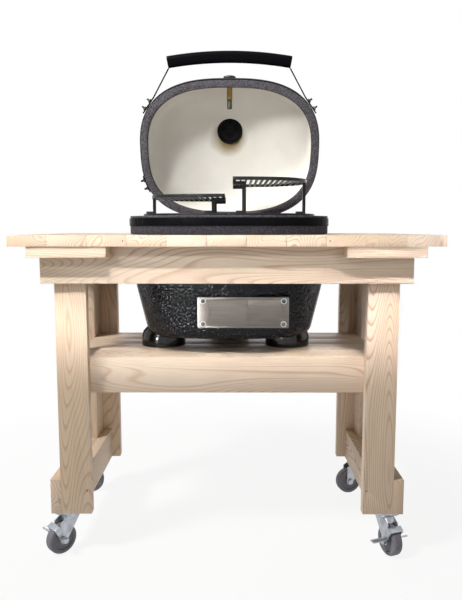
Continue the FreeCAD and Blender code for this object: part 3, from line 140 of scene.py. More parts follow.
def blend_colours(tree, share, low, high):
    """Mix two colours by a share; each colour is a hex code or a socket."""
    mix = add(tree, "ShaderNodeMix", data_type="RGBA")
    # Of the Mix node's sockets, inputs 6 and 7 and output 2 are the ones for colours
    for spot, value in ((0, share), (6, low), (7, high)):
        if isinstance(value, bpy.types.NodeSocket):
            tree.links.new(value, mix.inputs[spot])
        else:
            mix.inputs[spot].default_value = colour(value) if isinstance(value, str) else value
    return mix.outputs[2]


def ramp(tree, source, *stops):
    """Turn a value into another through stops of (place, value)."""
    made = add(tree, "ShaderNodeValToRGB", {"Fac": source})
    elements = made.color_ramp.elements
    while len(elements) < len(stops):
        elements.new(0.5)
    for element, (spot, value) in zip(elements, stops):
        element.position = spot
        element.color = (value, value, value, 1)
    return made.outputs["Color"]


def bumped(tree, shader, height, depth, strength=1.0, under=None, sunk=False):
    """Give the shader a bump whose full height is depth, in metres; sunk turns it inside out."""
    inputs = {"Height": height, "Distance": depth, "Strength": strength}
    if under is not None:
        inputs["Normal"] = under
    made = add(tree, "ShaderNodeBump", inputs, invert=sunk)
    tree.links.new(made.outputs["Normal"], shader.inputs["Normal"])
    return made.outputs["Normal"]


print("blend, ramp and bump helpers ready")

# %% [markdown]
# Wood. The table is sawn softwood boards, planed but not varnished: pale, with orange-brown lines
# where a year's growth ended. A wave texture would draw those lines straight and even. A flat board
# cuts the years at a slant and shows long arches, so the material takes contour lines of a noise
# that is stretched along the board, as lines of height on a map. Each board has its own number,
# kept as an attribute on its mesh, which moves the noise and tints the board.

# %% Wood
RING_STRETCH, FIBRE_STRETCH = 0.13, 0.02
YEARS = 56.0
AGED = "#D2B48E"


def wood(name, along, light, dark):
    """Sawn softwood whose grain runs along one axis."""
    material, tree, shader, place = start_material(name, Roughness=0.62)
    board = add(tree, "ShaderNodeAttribute", attribute_name="board").outputs["Fac"]
    apart = add(tree, "ShaderNodeCombineXYZ", {"X": board, "Y": board, "Z": board}).outputs[0]
    moved = add(tree, "ShaderNodeVectorMath", {0: place, 1: apart}, operation="ADD").outputs[0]

    def stretched(share):
        """Coordinates that pass more slowly along the board, so that a pattern grows long."""
        scale = [share if axis == along else 1.0 for axis in "XYZ"]
        return add(tree, "ShaderNodeMapping", {"Vector": moved, "Scale": scale}).outputs[0]

    # Across the board a growth ring is about 8 mm; along it the arches run for 300 mm or more
    ring_place = stretched(RING_STRETCH)
    contour = add(tree, "ShaderNodeTexNoise", {"Vector": ring_place, "Scale": 9.0, "Detail": 1.0,
                                               "Roughness": 0.3}).outputs["Fac"]
    years = add(tree, "ShaderNodeMath", {0: contour, 1: YEARS}, operation="MULTIPLY").outputs[0]
    year = add(tree, "ShaderNodeMath", {0: years}, operation="FRACT").outputs[0]
    late = ramp(tree, year, (0.0, 0.1), (0.6, 0.16), (0.86, 1.0), (1.0, 0.1))
    # Fibres are far finer than a pixel, so they are drawn at 1.5 mm to show at all
    fibre = add(tree, "ShaderNodeTexNoise", {"Vector": stretched(FIBRE_STRETCH), "Scale": 650.0,
                                             "Detail": 3.0}).outputs["Fac"]
    patch = add(tree, "ShaderNodeTexNoise", {"Vector": ring_place, "Scale": 3.0}).outputs["Fac"]
    tone = add(tree, "ShaderNodeTexWhiteNoise", {"W": board},
               noise_dimensions="1D").outputs["Value"]
    share = add(tree, "ShaderNodeMath", {0: late, 1: ramp(tree, patch, (0.35, 0.4), (0.65, 0.9))},
                operation="MULTIPLY").outputs[0]
    grain = blend_colours(tree, share, light, dark)
    tinted = blend_colours(tree, ramp(tree, tone, (0.0, 0.0), (1.0, 0.5)), grain, AGED)
    speck = ramp(tree, fibre, (0.42, 0.0), (0.75, 0.22))
    tree.links.new(blend_colours(tree, speck, tinted, dark), shader.inputs["Base Color"])
    bumped(tree, shader, fibre, 0.0003, 0.5)
    return material


wood_along = {axis: wood("planed_softwood_" + axis.lower(), axis, "#E9DAC6", "#AE805A")
              for axis in "XYZ"}
print("wood", [m.name for m in wood_along.values()])

# %% [markdown]
# Glaze. The grill's outside is fired ceramic with a nearly black glaze that has drawn together into
# small pebbles, each of which catches the light. They could be real geometry, at millions of faces.
# A cell pattern as a bump costs nothing and keeps the outline smooth, as the real one's nearly is.
# The cells' places are bent by a noise first, or they would look like scales. The same cells tint
# the glaze as painted light and shade: lighter on each pebble's top, darker in the creases between.

# %% Pebbled glaze
PEBBLE = 6.5 * MM


def pebbled_glaze():
    """Blue-black glaze in pebbles of about 6 mm, finer ones between, and painted shade in the creases."""
    material, tree, shader, place = start_material(
        "black_pebbled_glaze", Roughness=0.16, IOR=1.52, Specular_IOR_Level=0.2)
    bend = add(tree, "ShaderNodeTexNoise", {"Vector": place, "Scale": 90.0}).outputs["Color"]
    warped = add(tree, "ShaderNodeVectorMath", {0: bend, 1: (0.006, 0.006, 0.006), 2: place},
                 operation="MULTIPLY_ADD").outputs[0]
    cell = add(tree, "ShaderNodeTexVoronoi", {"Vector": warped, "Scale": 1 / PEBBLE,
                                              "Smoothness": 0.35},
               feature="SMOOTH_F1").outputs["Distance"]
    fine = add(tree, "ShaderNodeTexNoise", {"Vector": place, "Scale": 420.0,
                                            "Detail": 2.0}).outputs["Fac"]
    # Painted light and shade: each pebble's top a little lighter, the creases between pebbles darker
    tone = blend_colours(tree, ramp(tree, cell, (0.15, 1.0), (0.75, 0.0)), "#040509", "#12151F")
    tree.links.new(tone, shader.inputs["Base Color"])
    low = bumped(tree, shader, cell, 0.0026, sunk=True)
    bumped(tree, shader, fine, 0.0005, 0.6, low)
    return material


glaze = pebbled_glaze()
print("glaze", glaze.name, "pebble", PEBBLE)

# %% [markdown]
# Grit and felt. The rims of bowl and lid are left unglazed and have a coarse dark grit, and between
# them lies a grey felt. Both are a crowd of grains of unlike tone. A cell texture gives the grains,
# and a random number for each cell picks the light ones and the dark ones.

# %% Grit and felt


def speckled_grit(name, base, light, dark, grit=2.2):
    """A matte surface of fine light and dark grains, their size in millimetres."""
    material, tree, shader, place = start_material(name, Roughness=0.85)
    grain = add(tree, "ShaderNodeTexVoronoi", {"Vector": place, "Scale": 1 / (grit * MM)})
    pick = add(tree, "ShaderNodeTexWhiteNoise", {"Vector": grain.outputs["Position"]},
               noise_dimensions="3D").outputs["Value"]
    spotted = blend_colours(tree, ramp(tree, pick, (0.62, 0.0), (0.9, 0.9)), base, light)
    spotted = blend_colours(tree, ramp(tree, pick, (0.08, 0.9), (0.3, 0.0)), spotted, dark)
    tree.links.new(spotted, shader.inputs["Base Color"])
    bumped(tree, shader, grain.outputs["Distance"], 0.0004, 0.6)
    return material


lip_grit = speckled_grit("speckled_grey_lip", "#2A2831", "#4C4953", "#17151B", 1.8)
felt = speckled_grit("grey_gasket_felt", "#4A474D", "#77747A", "#242327", 1.6)
print("grits", lip_grit.name, felt.name)

# %% [markdown]
# Bare clay. Inside, the shell is cream firebrick clay, matte and a little cloudy. Smoke has browned
# the lid just around its chimney hole. A painted mask could say where, but the distance from one
# point says the same, with a little noise added so that the stain's edge isn't a circle.

# %% Bare clay
STAIN_BEHIND, STAIN_Z = -8 * MM, 1023 * MM


def cream_clay(name, stain_at=None):
    """Bare pale clay; a stain fades out from a point along the lid's inside."""
    material, tree, shader, place = start_material(name, Roughness=0.8)
    cloud = add(tree, "ShaderNodeTexNoise", {"Vector": place, "Scale": 9.0,
                                             "Detail": 4.0}).outputs["Fac"]
    dust = add(tree, "ShaderNodeTexNoise", {"Vector": place, "Scale": 900.0,
                                            "Detail": 2.0}).outputs["Fac"]
    base = blend_colours(tree, ramp(tree, cloud, (0.3, 0.0), (0.7, 1.0)), "#EDEAE3", "#E4E0D6")
    if stain_at is not None:
        stretch = Vector((1.0, 1.0, 0.9))
        moved = [-a * s for a, s in zip(stain_at, stretch)]
        near = add(tree, "ShaderNodeMapping", {"Vector": place, "Location": moved,
                                               "Scale": stretch}).outputs[0]
        reach = add(tree, "ShaderNodeVectorMath", {0: near}, operation="LENGTH").outputs["Value"]
        wobble = add(tree, "ShaderNodeMath", {0: cloud, 1: 0.05, 2: reach},
                     operation="MULTIPLY_ADD").outputs[0]
        soot = ramp(tree, wobble, (0.05, 0.95), (0.085, 0.0))
        base = blend_colours(tree, soot, base, "#8C7848")
    tree.links.new(base, shader.inputs["Base Color"])
    bumped(tree, shader, dust, 0.0003, 0.5)
    return material


stain_spot = lid_place @ Vector((0, STAIN_BEHIND, STAIN_Z))
lid_clay = cream_clay("cream_lid_clay", stain_spot)
fire_clay = cream_clay("cream_fire_clay")
print("clay ready, stain at", tuple(round(c, 3) for c in stain_spot))

# %% [markdown]
# Bare metal. The draft plate is stainless steel that was drawn under a brush, which leaves fine
# streaks along X. The casters are zinc plated, brighter and mottled with small crystals. Metal has
# no colour of its own under its shine, so what tells these apart is how rough they are from place
# to place, and one noise gives both, squeezed to streaks or left as it is.

# %% Bare metal
STREAK_STRETCH = 0.01
CRYSTALS, STREAKS = 60.0, 1400.0


def bare_metal(name, base, dark, roughness, streak_axis=None):
    """Bare metal with streaks along an axis, or else with a crystal mottle."""
    material, tree, shader, place = start_material(name, Metallic=1.0)
    stretch = [STREAK_STRETCH if axis == streak_axis else 1.0 for axis in "XYZ"]
    drawn = add(tree, "ShaderNodeMapping", {"Vector": place, "Scale": stretch}).outputs[0]
    grain = add(tree, "ShaderNodeTexNoise", {
        "Vector": drawn, "Scale": STREAKS if streak_axis else CRYSTALS,
        "Detail": 4.0}).outputs["Fac"]
    tree.links.new(blend_colours(tree, ramp(tree, grain, (0.3, 0.0), (0.7, 1.0)), base, dark),
                   shader.inputs["Base Color"])
    rough = add(tree, "ShaderNodeMapRange", {"Value": grain, "To Min": roughness - 0.07,
                                             "To Max": roughness + 0.1}).outputs[0]
    tree.links.new(rough, shader.inputs["Roughness"])
    bumped(tree, shader, grain, 0.00008, 0.4)
    return material


finish = {
    "stainless": bare_metal("brushed_stainless", "#78726C", "#605B56", 0.34, "X"),
    "zinc": bare_metal("zinc_plate", "#BFC3C8", "#989DA4", 0.32),
    "nail_steel": bare_metal("dull_nail_steel", "#6B665F", "#45413B", 0.5),
    "brass": bare_metal("dull_brass", "#B59A5C", "#857142", 0.42),
}
print("bare metals", len(finish))

# %% [markdown]
# Coats. Bands, hinge and handle arms are powder paint, the racks are enamel on steel, the chimney's
# cap is cast iron, the grip is plastic and the wheels are grey rubber. All are one plain colour
# under a fine skin, so one function serves, and roughness and the size of the skin's cells set them
# apart. The black ones reflect less than glass would, or a white room would turn them grey.

# %% Paint, enamel, plastic and rubber


def coated(name, base, roughness, orange_peel, depth=0.00015, coat=0.0, dull=0.5):
    """Paint, enamel, plastic or rubber with a fine skin; orange_peel is its cell in mm."""
    material, tree, shader, place = start_material(
        name, Roughness=roughness, IOR=1.5, Coat_Weight=coat, Coat_Roughness=0.05,
        Specular_IOR_Level=dull)
    skin = add(tree, "ShaderNodeTexNoise", {"Vector": place, "Scale": 1 / (orange_peel * MM),
                                            "Detail": 2.0}).outputs["Fac"]
    wear = add(tree, "ShaderNodeTexNoise", {"Vector": place, "Scale": 30.0}).outputs["Fac"]
    faded = add(tree, "ShaderNodeHueSaturation", {"Color": colour(base), "Value": 1.25})
    tree.links.new(blend_colours(tree, ramp(tree, wear, (0.45, 0.0), (0.75, 0.8)), base,
                                 faded.outputs[0]), shader.inputs["Base Color"])
    bumped(tree, shader, skin, depth, 0.6)
    return material


finish.update({
    "black_steel": coated("black_powder_paint", "#07080C", 0.45, 1.2, dull=0.05),
    "grate_black": coated("black_rack_enamel", "#0D0D0F", 0.4, 1.5, dull=0.3),
    "cast_black": coated("black_cast_iron", "#0B0B0C", 0.6, 1.6, 0.0004, dull=0.2),
    "grip_black": coated("black_moulded_plastic", "#050508", 0.5, 1.0, dull=0.05),
    "wheel_grey": coated("grey_caster_rubber", "#77757C", 0.62, 1.4),
    "shoe_black": coated("black_glossy_glaze", "#060709", 0.1, 6.0, 0.0004, 0.35, 0.2),
    "glazed_black": glaze, "felt": felt, "firebrick": fire_clay,
})
print("finishes", len(finish))

# %% [markdown]
# One node of the CAD often holds several boards, and each of them should get its own grain. They
# could be split into objects, but then one node would be many pieces. So the loose parts of a mesh
# are found by walking along edges, and each part's number is stored on its points.

# %% Board numbers
BOARD_STEP = 1.37


def only(piece):
    """Select one object alone and make it active."""
    bpy.ops.object.select_all(action="DESELECT")
    piece.select_set(True)
    bpy.context.view_layer.objects.active = piece


def number_boards(mesh, seed):
    """Give each loose part of a mesh its own number, which the wood reads."""
    work = bmesh.new()
    work.from_mesh(mesh)
    island = {}
    count = 0
    for first in work.verts:
        if first in island:
            continue
        island[first] = count
        waiting = [first]
        while waiting:
            for edge in waiting.pop().link_edges:
                for vert in edge.verts:
                    if vert not in island:
                        island[vert] = count
                        waiting.append(vert)
        count += 1
    numbers = [seed + BOARD_STEP * island[vert] for vert in work.verts]
    work.free()
    attribute = mesh.attributes.new("board", "FLOAT", "POINT")
    attribute.data.foreach_set("value", numbers)


print("board numbers go up by", BOARD_STEP)

# %% [markdown]
# A sharp CAD edge never catches light, but a real edge is always a little round. A bevel node in
# the material could fake it, but it would be lost when the mesh leaves Blender. So each simple node
# is copied, its loose triangles are merged and tidied, and a bevel modifier eases every edge that
# turns by more than 30 degrees. The copy replaces the node and rides on the same body.

# %% Helper that eases a node's edges
EDGE_ANGLE = math.radians(30)


def ride_with_node(piece, node):
    """The piece takes a node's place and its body."""
    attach(piece, body_of[node])
    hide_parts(node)


def eased(node, width, material, seed=None):
    """A copy of a node with merged faces and eased edges; width is in millimetres."""
    piece = bpy.data.objects.new("eased_" + node, frame["nodes"][node].data.copy())
    bpy.context.scene.collection.objects.link(piece)
    only(piece)
    bpy.ops.object.mode_set(mode="EDIT")
    bpy.ops.mesh.select_all(action="SELECT")
    bpy.ops.mesh.remove_doubles(threshold=0.01 * MM)
    bpy.ops.mesh.dissolve_limited(angle_limit=math.radians(0.5))
    bpy.ops.object.mode_set(mode="OBJECT")
    if piece.data.has_custom_normals:
        bpy.ops.mesh.customdata_custom_splitnormals_clear()
    if seed is not None:
        number_boards(piece.data, seed)
    if width:
        bevel = piece.modifiers.new("eased", "BEVEL")
        bevel.width = width * MM
        bevel.segments = 2
        bevel.limit_method = "ANGLE"
        bevel.angle_limit = EDGE_ANGLE
        bpy.ops.object.modifier_apply(modifier=bevel.name)
    bpy.ops.object.shade_smooth_by_angle(angle=EDGE_ANGLE)
    piece.data.materials.clear()
    piece.data.materials.append(material)
    ride_with_node(piece, node)
    return piece


print("easing helper ready")

# %% [markdown]
# The boards. The table is planks, aprons, legs, rails and cleats, all of square-sawn board with
# hardly broken edges. The CAD already has them to size, so a small ease is all they need. Each
# wooden node is listed with the way its boards run, and gets the wood with that grain.

# %% Wooden pieces
BOARD_EASE, FIRST_SEED, SEED_STEP = 0.6, 3.1, 7.7
WOOD_AXIS = {
    "left_planks": "Y", "right_planks": "Y", "front_planks": "Y", "rear_planks": "Y",
    "front_apron": "X", "rear_apron": "X", "side_aprons": "Y", "top_cleats": "X",
    "front_left_leg": "Z", "front_right_leg": "Z", "rear_left_leg": "Z", "rear_right_leg": "Z",
    "bottom_rails": "Y", "shelf_rails": "X", "shelf_boards": "X", "shelf_ledgers": "Y",
}
for number, (node, axis) in enumerate(WOOD_AXIS.items()):
    eased(node, BOARD_EASE, wood_along[axis], seed=FIRST_SEED + SEED_STEP * number)
print("wooden nodes", len(WOOD_AXIS))

# %% [markdown]
# The ceramic shells. Seen from above, bowl and lid are ovals that are fuller than an ellipse, so no
# primitive gives them, and a scaled cylinder would come out too lean at its corners. The rings of
# points are worked out from a superellipse instead. Going up or down, the wall follows a profile of
# straight lines and arcs, given as stations: how wide the oval is at which height.

# %% Oval rings and profiles
RIM_W, RIM_D, WALL = 262, 205.04, 22
OVAL_POWER = 2.7
OVAL_RATIO = RIM_D / RIM_W
AROUND = 160
EDGE_STEPS = 3


def oval_ring(half_w, half_d, z):
    """The points of one oval, all the way round."""
    points = []
    for step in range(AROUND):
        turn = 2 * math.pi * step / AROUND
        across, deep = math.cos(turn), math.sin(turn)
        x = math.copysign(abs(across) ** (2 / OVAL_POWER), across) * half_w
        y = math.copysign(abs(deep) ** (2 / OVAL_POWER), deep) * half_d
        points.append(Vector((x, y, z)) * MM)
    return points


def arc(middle_w, middle_z, radius, first, last, steps):
    """Stations (half width, height, outward w, outward z) along an arc, in degrees."""
    made = []
    for step in range(steps + 1):
        turn = math.radians(first + (last - first) * step / steps)
        made.append((middle_w + radius * math.cos(turn), middle_z + radius * math.sin(turn),
                     math.cos(turn), math.sin(turn)))
    return made


def offset(stations, inset):
    """Stations as (half width, half depth, height), drawn in by an inset."""
    return [(w - inset * out_w, w * OVAL_RATIO - inset * out_w, z - inset * out_z)
            for w, z, out_w, out_z in stations]


def rim(outer, inner, z, rounding, way):
    """Stations over a rim with rounded edges; way is +1 where the rim faces up."""
    wall = outer[0] - inner[0]
    up_the_edge = [math.radians(90 * step / EDGE_STEPS) for step in range(EDGE_STEPS + 1)]
    made = []
    for share, edge, turns in ((0, 1, up_the_edge), (1, -1, up_the_edge[::-1])):
        for turn in turns:
            across = share + edge * rounding * (1 - math.cos(turn)) / wall
            made.append((outer[0] + (inner[0] - outer[0]) * across,
                         outer[1] + (inner[1] - outer[1]) * across,
                         z - way * rounding * (1 - math.sin(turn))))
    return made


print("points in an oval", len(oval_ring(RIM_W, RIM_D, 0)))

# %% [markdown]
# A wall is closed: its profile runs over the outside, round the rim and back along the inside, and
# the first and last rings end in a point each. That way it has real thickness at the rim and at any
# hole, where a single skin with a Solidify modifier would need its rim repaired. A paint function
# says which strip of faces is glaze, grit or clay.

# %% Walls from rings
SHELL_ANGLE = math.radians(35)


def shell_mesh(name, stations, paint, materials, place):
    """A closed wall from pole to pole; paint gives the material of each strip of faces."""
    work = bmesh.new()
    rings = [[work.verts.new(point) for point in oval_ring(*station)] for station in stations]
    for index, (low, high) in enumerate(zip(rings, rings[1:])):
        for step in range(AROUND):
            after = (step + 1) % AROUND
            face = work.faces.new((low[step], low[after], high[after], high[step]))
            face.material_index = paint(index)
    for ring, index in ((rings[0], 0), (rings[-1], len(rings) - 2)):
        pole = work.verts.new(sum((vert.co for vert in ring), Vector()) / AROUND)
        for step in range(AROUND):
            face = work.faces.new((ring[step], ring[(step + 1) % AROUND], pole))
            face.material_index = paint(index)
    bmesh.ops.recalc_face_normals(work, faces=work.faces)
    if work.calc_volume(signed=True) < 0:
        bmesh.ops.reverse_faces(work, faces=work.faces)
    mesh = bpy.data.meshes.new(name)
    work.to_mesh(mesh)
    work.free()
    for material in materials:
        mesh.materials.append(material)
    mesh.transform(place)
    piece = bpy.data.objects.new(name, mesh)
    bpy.context.scene.collection.objects.link(piece)
    return piece


def cut_with(piece, tool, how="DIFFERENCE"):
    """Boolean with another object, which is then removed."""
    only(piece)
    step = piece.modifiers.new("cut", "BOOLEAN")
    step.object = tool
    step.operation = how
    step.solver = "EXACT"
    bpy.ops.object.modifier_apply(modifier=step.name)
    bpy.data.objects.remove(tool)


print("wall helpers ready, points around", AROUND)

# %% [markdown]
# The lid is one such wall: over the crown, round the shoulder, down the upright side, across the
# rim and back along the inside. Crown and shoulder are arcs that meet without a crease at the angle
# MEET. It is drawn shut and swung open.

# %% Lid shell
CROWN_R, CROWN_MIDDLE, CLOSE, MEET = 366.04, 678.96, 86.08, 53.58
SHOULDER_R, SHOULDER_Z = 110, 885
SIDE_FOOT, LID_RIM_Z, RIM_ROUND = 866, 856, 3.0
lid_outer = arc(0, CROWN_MIDDLE, CROWN_R, CLOSE, MEET, 12)
lid_outer += arc(RIM_W - SHOULDER_R, SHOULDER_Z, SHOULDER_R, MEET, 0, 16)[1:]
lid_outer += [(RIM_W, SIDE_FOOT, 1, 0)]
lid_out = offset(lid_outer, 0)
lid_in = offset(lid_outer, WALL)[::-1]
lid_rim = rim((RIM_W, RIM_D), (RIM_W - WALL, RIM_D - WALL), LID_RIM_Z, RIM_ROUND, -1)
rim_from = len(lid_out)
rim_to = rim_from + len(lid_rim)


def lid_paint(index):
    """Glaze outside, grit over the rim, clay inside."""
    return 0 if index < rim_from else 1 if index < rim_to - 1 else 2


lid_shell = shell_mesh("ceramic_lid", lid_out + lid_rim + lid_in, lid_paint,
                       [glaze, lip_grit, lid_clay], lid_place)
print("lid stations", len(lid_out) + len(lid_rim) + len(lid_in))

# %% [markdown]
# The chimney hole goes through the lid a little in front of its top. Faces could be deleted for it,
# but the hole would follow the rings and not be round. A Boolean with a cylinder cuts it true and
# gives it a wall through the ceramic.

# %% Chimney hole
CHIMNEY_R, CHIMNEY_BACK, CUT_FROM, CUT_TO = 40, -30, 980, 1090


def tool_cylinder(radius, low, high, x, y, place):
    """A cylinder to cut with, given in millimetres before its place."""
    bpy.ops.object.select_all(action="DESELECT")
    bpy.ops.mesh.primitive_cylinder_add(vertices=96, radius=radius * MM, depth=(high - low) * MM)
    tool = bpy.context.object
    tool.data.transform(Matrix.Translation((x * MM, y * MM, (low + high) / 2 * MM)))
    tool.data.transform(place)
    return tool


cut_with(lid_shell, tool_cylinder(CHIMNEY_R, CUT_FROM, CUT_TO, 0, CHIMNEY_BACK, lid_place))
only(lid_shell)
bpy.ops.object.shade_smooth_by_angle(angle=SHELL_ANGLE)
ride_with_node(lid_shell, "lid_shell")
print("lid faces", len(lid_shell.data.polygons))

# %% [markdown]
# The bowl is drawn the same way: a level floor, a corner, a side that leans out, a wide bend and an
# upright side. It ends in a thicker lip, which the table's planks close in on, so the lip's few
# stations are listed one by one.

# %% Bowl wall
LEAN_DEGREES = 13.3
LEAN = math.radians(LEAN_DEGREES)
FLOOR_Z, BEND_Z, BEND_R, SIDE_W = 543, 720, 260, 253
SIDE_TOP, INSIDE_TOP, BOWL_RIM_Z = 804, 845, 848.5
CORNER_OUT, CORNER_IN = 26, 30
MOUTH_W, MOUTH_D = 231, 176


def bowl_side(radius, top):
    """Level floor, corner of a radius, leaning side, wide bend and upright side up to a height."""
    knee = arc(SIDE_W - BEND_R, BEND_Z, BEND_R, -LEAN_DEGREES, 0, 10)
    low_w, low_z = knee[0][:2]
    corner_z = FLOOR_Z + radius
    along = (low_z + radius * math.sin(LEAN) - corner_z) / math.cos(LEAN)
    corner_w = low_w - along * math.sin(LEAN) - radius * math.cos(LEAN)
    corner = arc(corner_w, corner_z, radius, -90, -LEAN_DEGREES, 10)
    return corner + knee + [(SIDE_W, top, 1, 0)]


bowl_out = offset(bowl_side(CORNER_OUT, SIDE_TOP), 0)
lip = [(253.5, 198.5, 805.5), (259, 202.1, 805.5), (261, 204.1, 806.7), (RIM_W, RIM_D, 809.5)]
bowl_rim = rim((RIM_W, RIM_D), (MOUTH_W, MOUTH_D), BOWL_RIM_Z, RIM_ROUND, 1)
bowl_in = offset(bowl_side(CORNER_IN, INSIDE_TOP), WALL)[::-1]
lip_from = len(bowl_out)
inside_from = lip_from + len(lip) + len(bowl_rim) - 1


def bowl_paint(index):
    """Glaze up to the lip, grit on the lip and rim, clay inside."""
    return 0 if index < lip_from else 1 if index < inside_from else 2


bowl = shell_mesh("ceramic_bowl", bowl_out + lip + bowl_rim + bowl_in, bowl_paint,
                  [glaze, lip_grit, fire_clay], grill_place)
print("bowl stations", len(bowl_out) + len(lip) + len(bowl_rim) + len(bowl_in))

# %% [markdown]
# The draft plate is flat and the bowl is not, so the real bowl has a raised level pad under it,
# with the air opening through the wall behind. The pad is a block with eased edges that is joined
# on, and a second block cuts the opening. In the CAD bowl and pad are two nodes. Glaze runs over
# both without a seam, so here one piece replaces the two.

# %% Draft pad and opening
PAD_HALF_W, PAD_HALF_H, PAD_DEEP, PAD_EASE = 115 * MM, 41 * MM, 44 * MM, 2 * MM
OPEN_HALF_W, OPEN_HALF_H, OPEN_BEFORE, OPEN_BEHIND = 80 * MM, 26 * MM, 20 * MM, 66 * MM
plate_low, plate_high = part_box("draft_frame")
draft_mid = (plate_low + plate_high) / 2


def block(half_w, depth_from, depth_to, half_h, rounding=0.0):
    """A block about the draft plate's middle, in metres, with edges eased by a rounding."""
    bpy.ops.object.select_all(action="DESELECT")
    bpy.ops.mesh.primitive_cube_add(size=1)
    made = bpy.context.object
    made.data.transform(Matrix.Diagonal((2 * half_w, depth_to - depth_from, 2 * half_h, 1)))
    made.data.transform(Matrix.Translation(
        (draft_mid.x, (depth_from + depth_to) / 2, draft_mid.z)))
    if rounding:
        edge = made.modifiers.new("eased", "BEVEL")
        edge.width = rounding
        edge.segments = 3
        bpy.ops.object.modifier_apply(modifier=edge.name)
    return made


pad_face = plate_high.y
pad = block(PAD_HALF_W, pad_face, pad_face + PAD_DEEP, PAD_HALF_H, PAD_EASE)
cut_with(bowl, pad, "UNION")
opening = block(OPEN_HALF_W, pad_face - OPEN_BEFORE, pad_face + OPEN_BEHIND, OPEN_HALF_H)
cut_with(bowl, opening)
only(bowl)
bpy.ops.object.shade_smooth_by_angle(angle=SHELL_ANGLE)
ride_with_node(bowl, "base_shell")
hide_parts("base_shell", "draft_pad")
print("bowl faces", len(bowl.data.polygons), "pad face y", round(pad_face, 4))

# %% [markdown]
# The grip is moulded plastic in two halves, so a thin parting line runs along it. A cube could be
# bevelled and bent, but its groove would have to be cut in afterwards. So the section is drawn
# once, with the groove in it, as a quarter circle at each corner.

# %% Section of the grip
GRIP_HALF_D, GRIP_HALF_H, GRIP_CORNER = 16, 12.5, 9
GROOVE_AT, GROOVE_HALF_W, GROOVE_DEEP = 5.0, 0.7, 0.9
CORNER_STEPS = 5


def grip_section():
    """The grip's outline in depth and height, with a groove on top and one below."""
    deep, high = GRIP_HALF_D - GRIP_CORNER, GRIP_HALF_H - GRIP_CORNER
    groove = [(GROOVE_AT + GROOVE_HALF_W, GRIP_HALF_H), (GROOVE_AT, GRIP_HALF_H - GROOVE_DEEP),
              (GROOVE_AT - GROOVE_HALF_W, GRIP_HALF_H)]
    before = {90: groove, 270: [(y, -z) for y, z in groove[::-1]]}
    points = []
    for first, middle_y, middle_z in ((0, deep, high), (90, -deep, high),
                                      (180, -deep, -high), (270, deep, -high)):
        points += before.get(first, [])
        for step in range(CORNER_STEPS + 1):
            turn = math.radians(first + 90 * step / CORNER_STEPS)
            points.append((middle_y + GRIP_CORNER * math.cos(turn),
                           middle_z + GRIP_CORNER * math.sin(turn)))
    return points


print("points in the section", len(grip_section()))

# %% [markdown]
# Spinning that section about a far centre gives the handle's gentle bow in one step. The centre
# lies behind the grip by the bow's radius. The spin starts half its sweep to one side, so the grip
# ends up in the middle, and a bevel then rounds only its two sharp ends.

# %% Handle grip
GRIP_Y, GRIP_Z, GRIP_HALF_W, BOW_R = -264.04, 869.0, 173, 1075.9
bow_middle = GRIP_Y + BOW_R
half_sweep = math.asin(GRIP_HALF_W / BOW_R)
work = bmesh.new()
ring = [work.verts.new(Vector((0, y + GRIP_Y, z + GRIP_Z)) * MM) for y, z in grip_section()]
face = work.faces.new(ring)
centre = Vector((0, bow_middle, 0)) * MM
bmesh.ops.rotate(work, verts=work.verts, cent=centre, matrix=Matrix.Rotation(-half_sweep, 3, "Z"))
bmesh.ops.spin(work, geom=[face] + ring + list(face.edges), cent=centre, axis=(0, 0, 1),
               angle=2 * half_sweep, steps=40)
bmesh.ops.recalc_face_normals(work, faces=work.faces)
grip_mesh = bpy.data.meshes.new("handle_grip_moulded")
work.to_mesh(grip_mesh)
work.free()
grip_mesh.transform(lid_place)
grip = bpy.data.objects.new("handle_grip_moulded", grip_mesh)
bpy.context.scene.collection.objects.link(grip)
only(grip)
ends = grip.modifiers.new("eased", "BEVEL")
ends.width = 2.5 * MM
ends.segments = 3
ends.limit_method = "ANGLE"
ends.angle_limit = math.radians(80)
bpy.ops.object.modifier_apply(modifier=ends.name)
bpy.ops.object.shade_smooth_by_angle(angle=SHELL_ANGLE)
grip.data.materials.append(finish["grip_black"])
ride_with_node(grip, "handle_grip")
print("grip faces", len(grip.data.polygons))

# %% [markdown]
# The handle's arms and the band's strap are held by bolts whose nuts and threaded ends stand out
# from the band. One bolt is made and copied. Its nut is a six-sided cylinder with broken corners.
# Its thread could be a true screw, but at this size rings look the same, so the rod grows by small
# extrusions, narrow and wide in turn.

# %% One bolt's end
NUT_R, NUT_HIGH, NUT_EASE = 6.2, 4.0, 0.6
ROD_R, THREAD, THREADS, THREAD_IN = 3.0, 0.8, 14, 0.84


def join(pieces, name):
    """Join objects into one."""
    bpy.ops.object.select_all(action="DESELECT")
    for piece in pieces:
        piece.select_set(True)
    bpy.context.view_layer.objects.active = pieces[0]
    if len(pieces) > 1:
        bpy.ops.object.join()
    pieces[0].name = name
    return pieces[0]


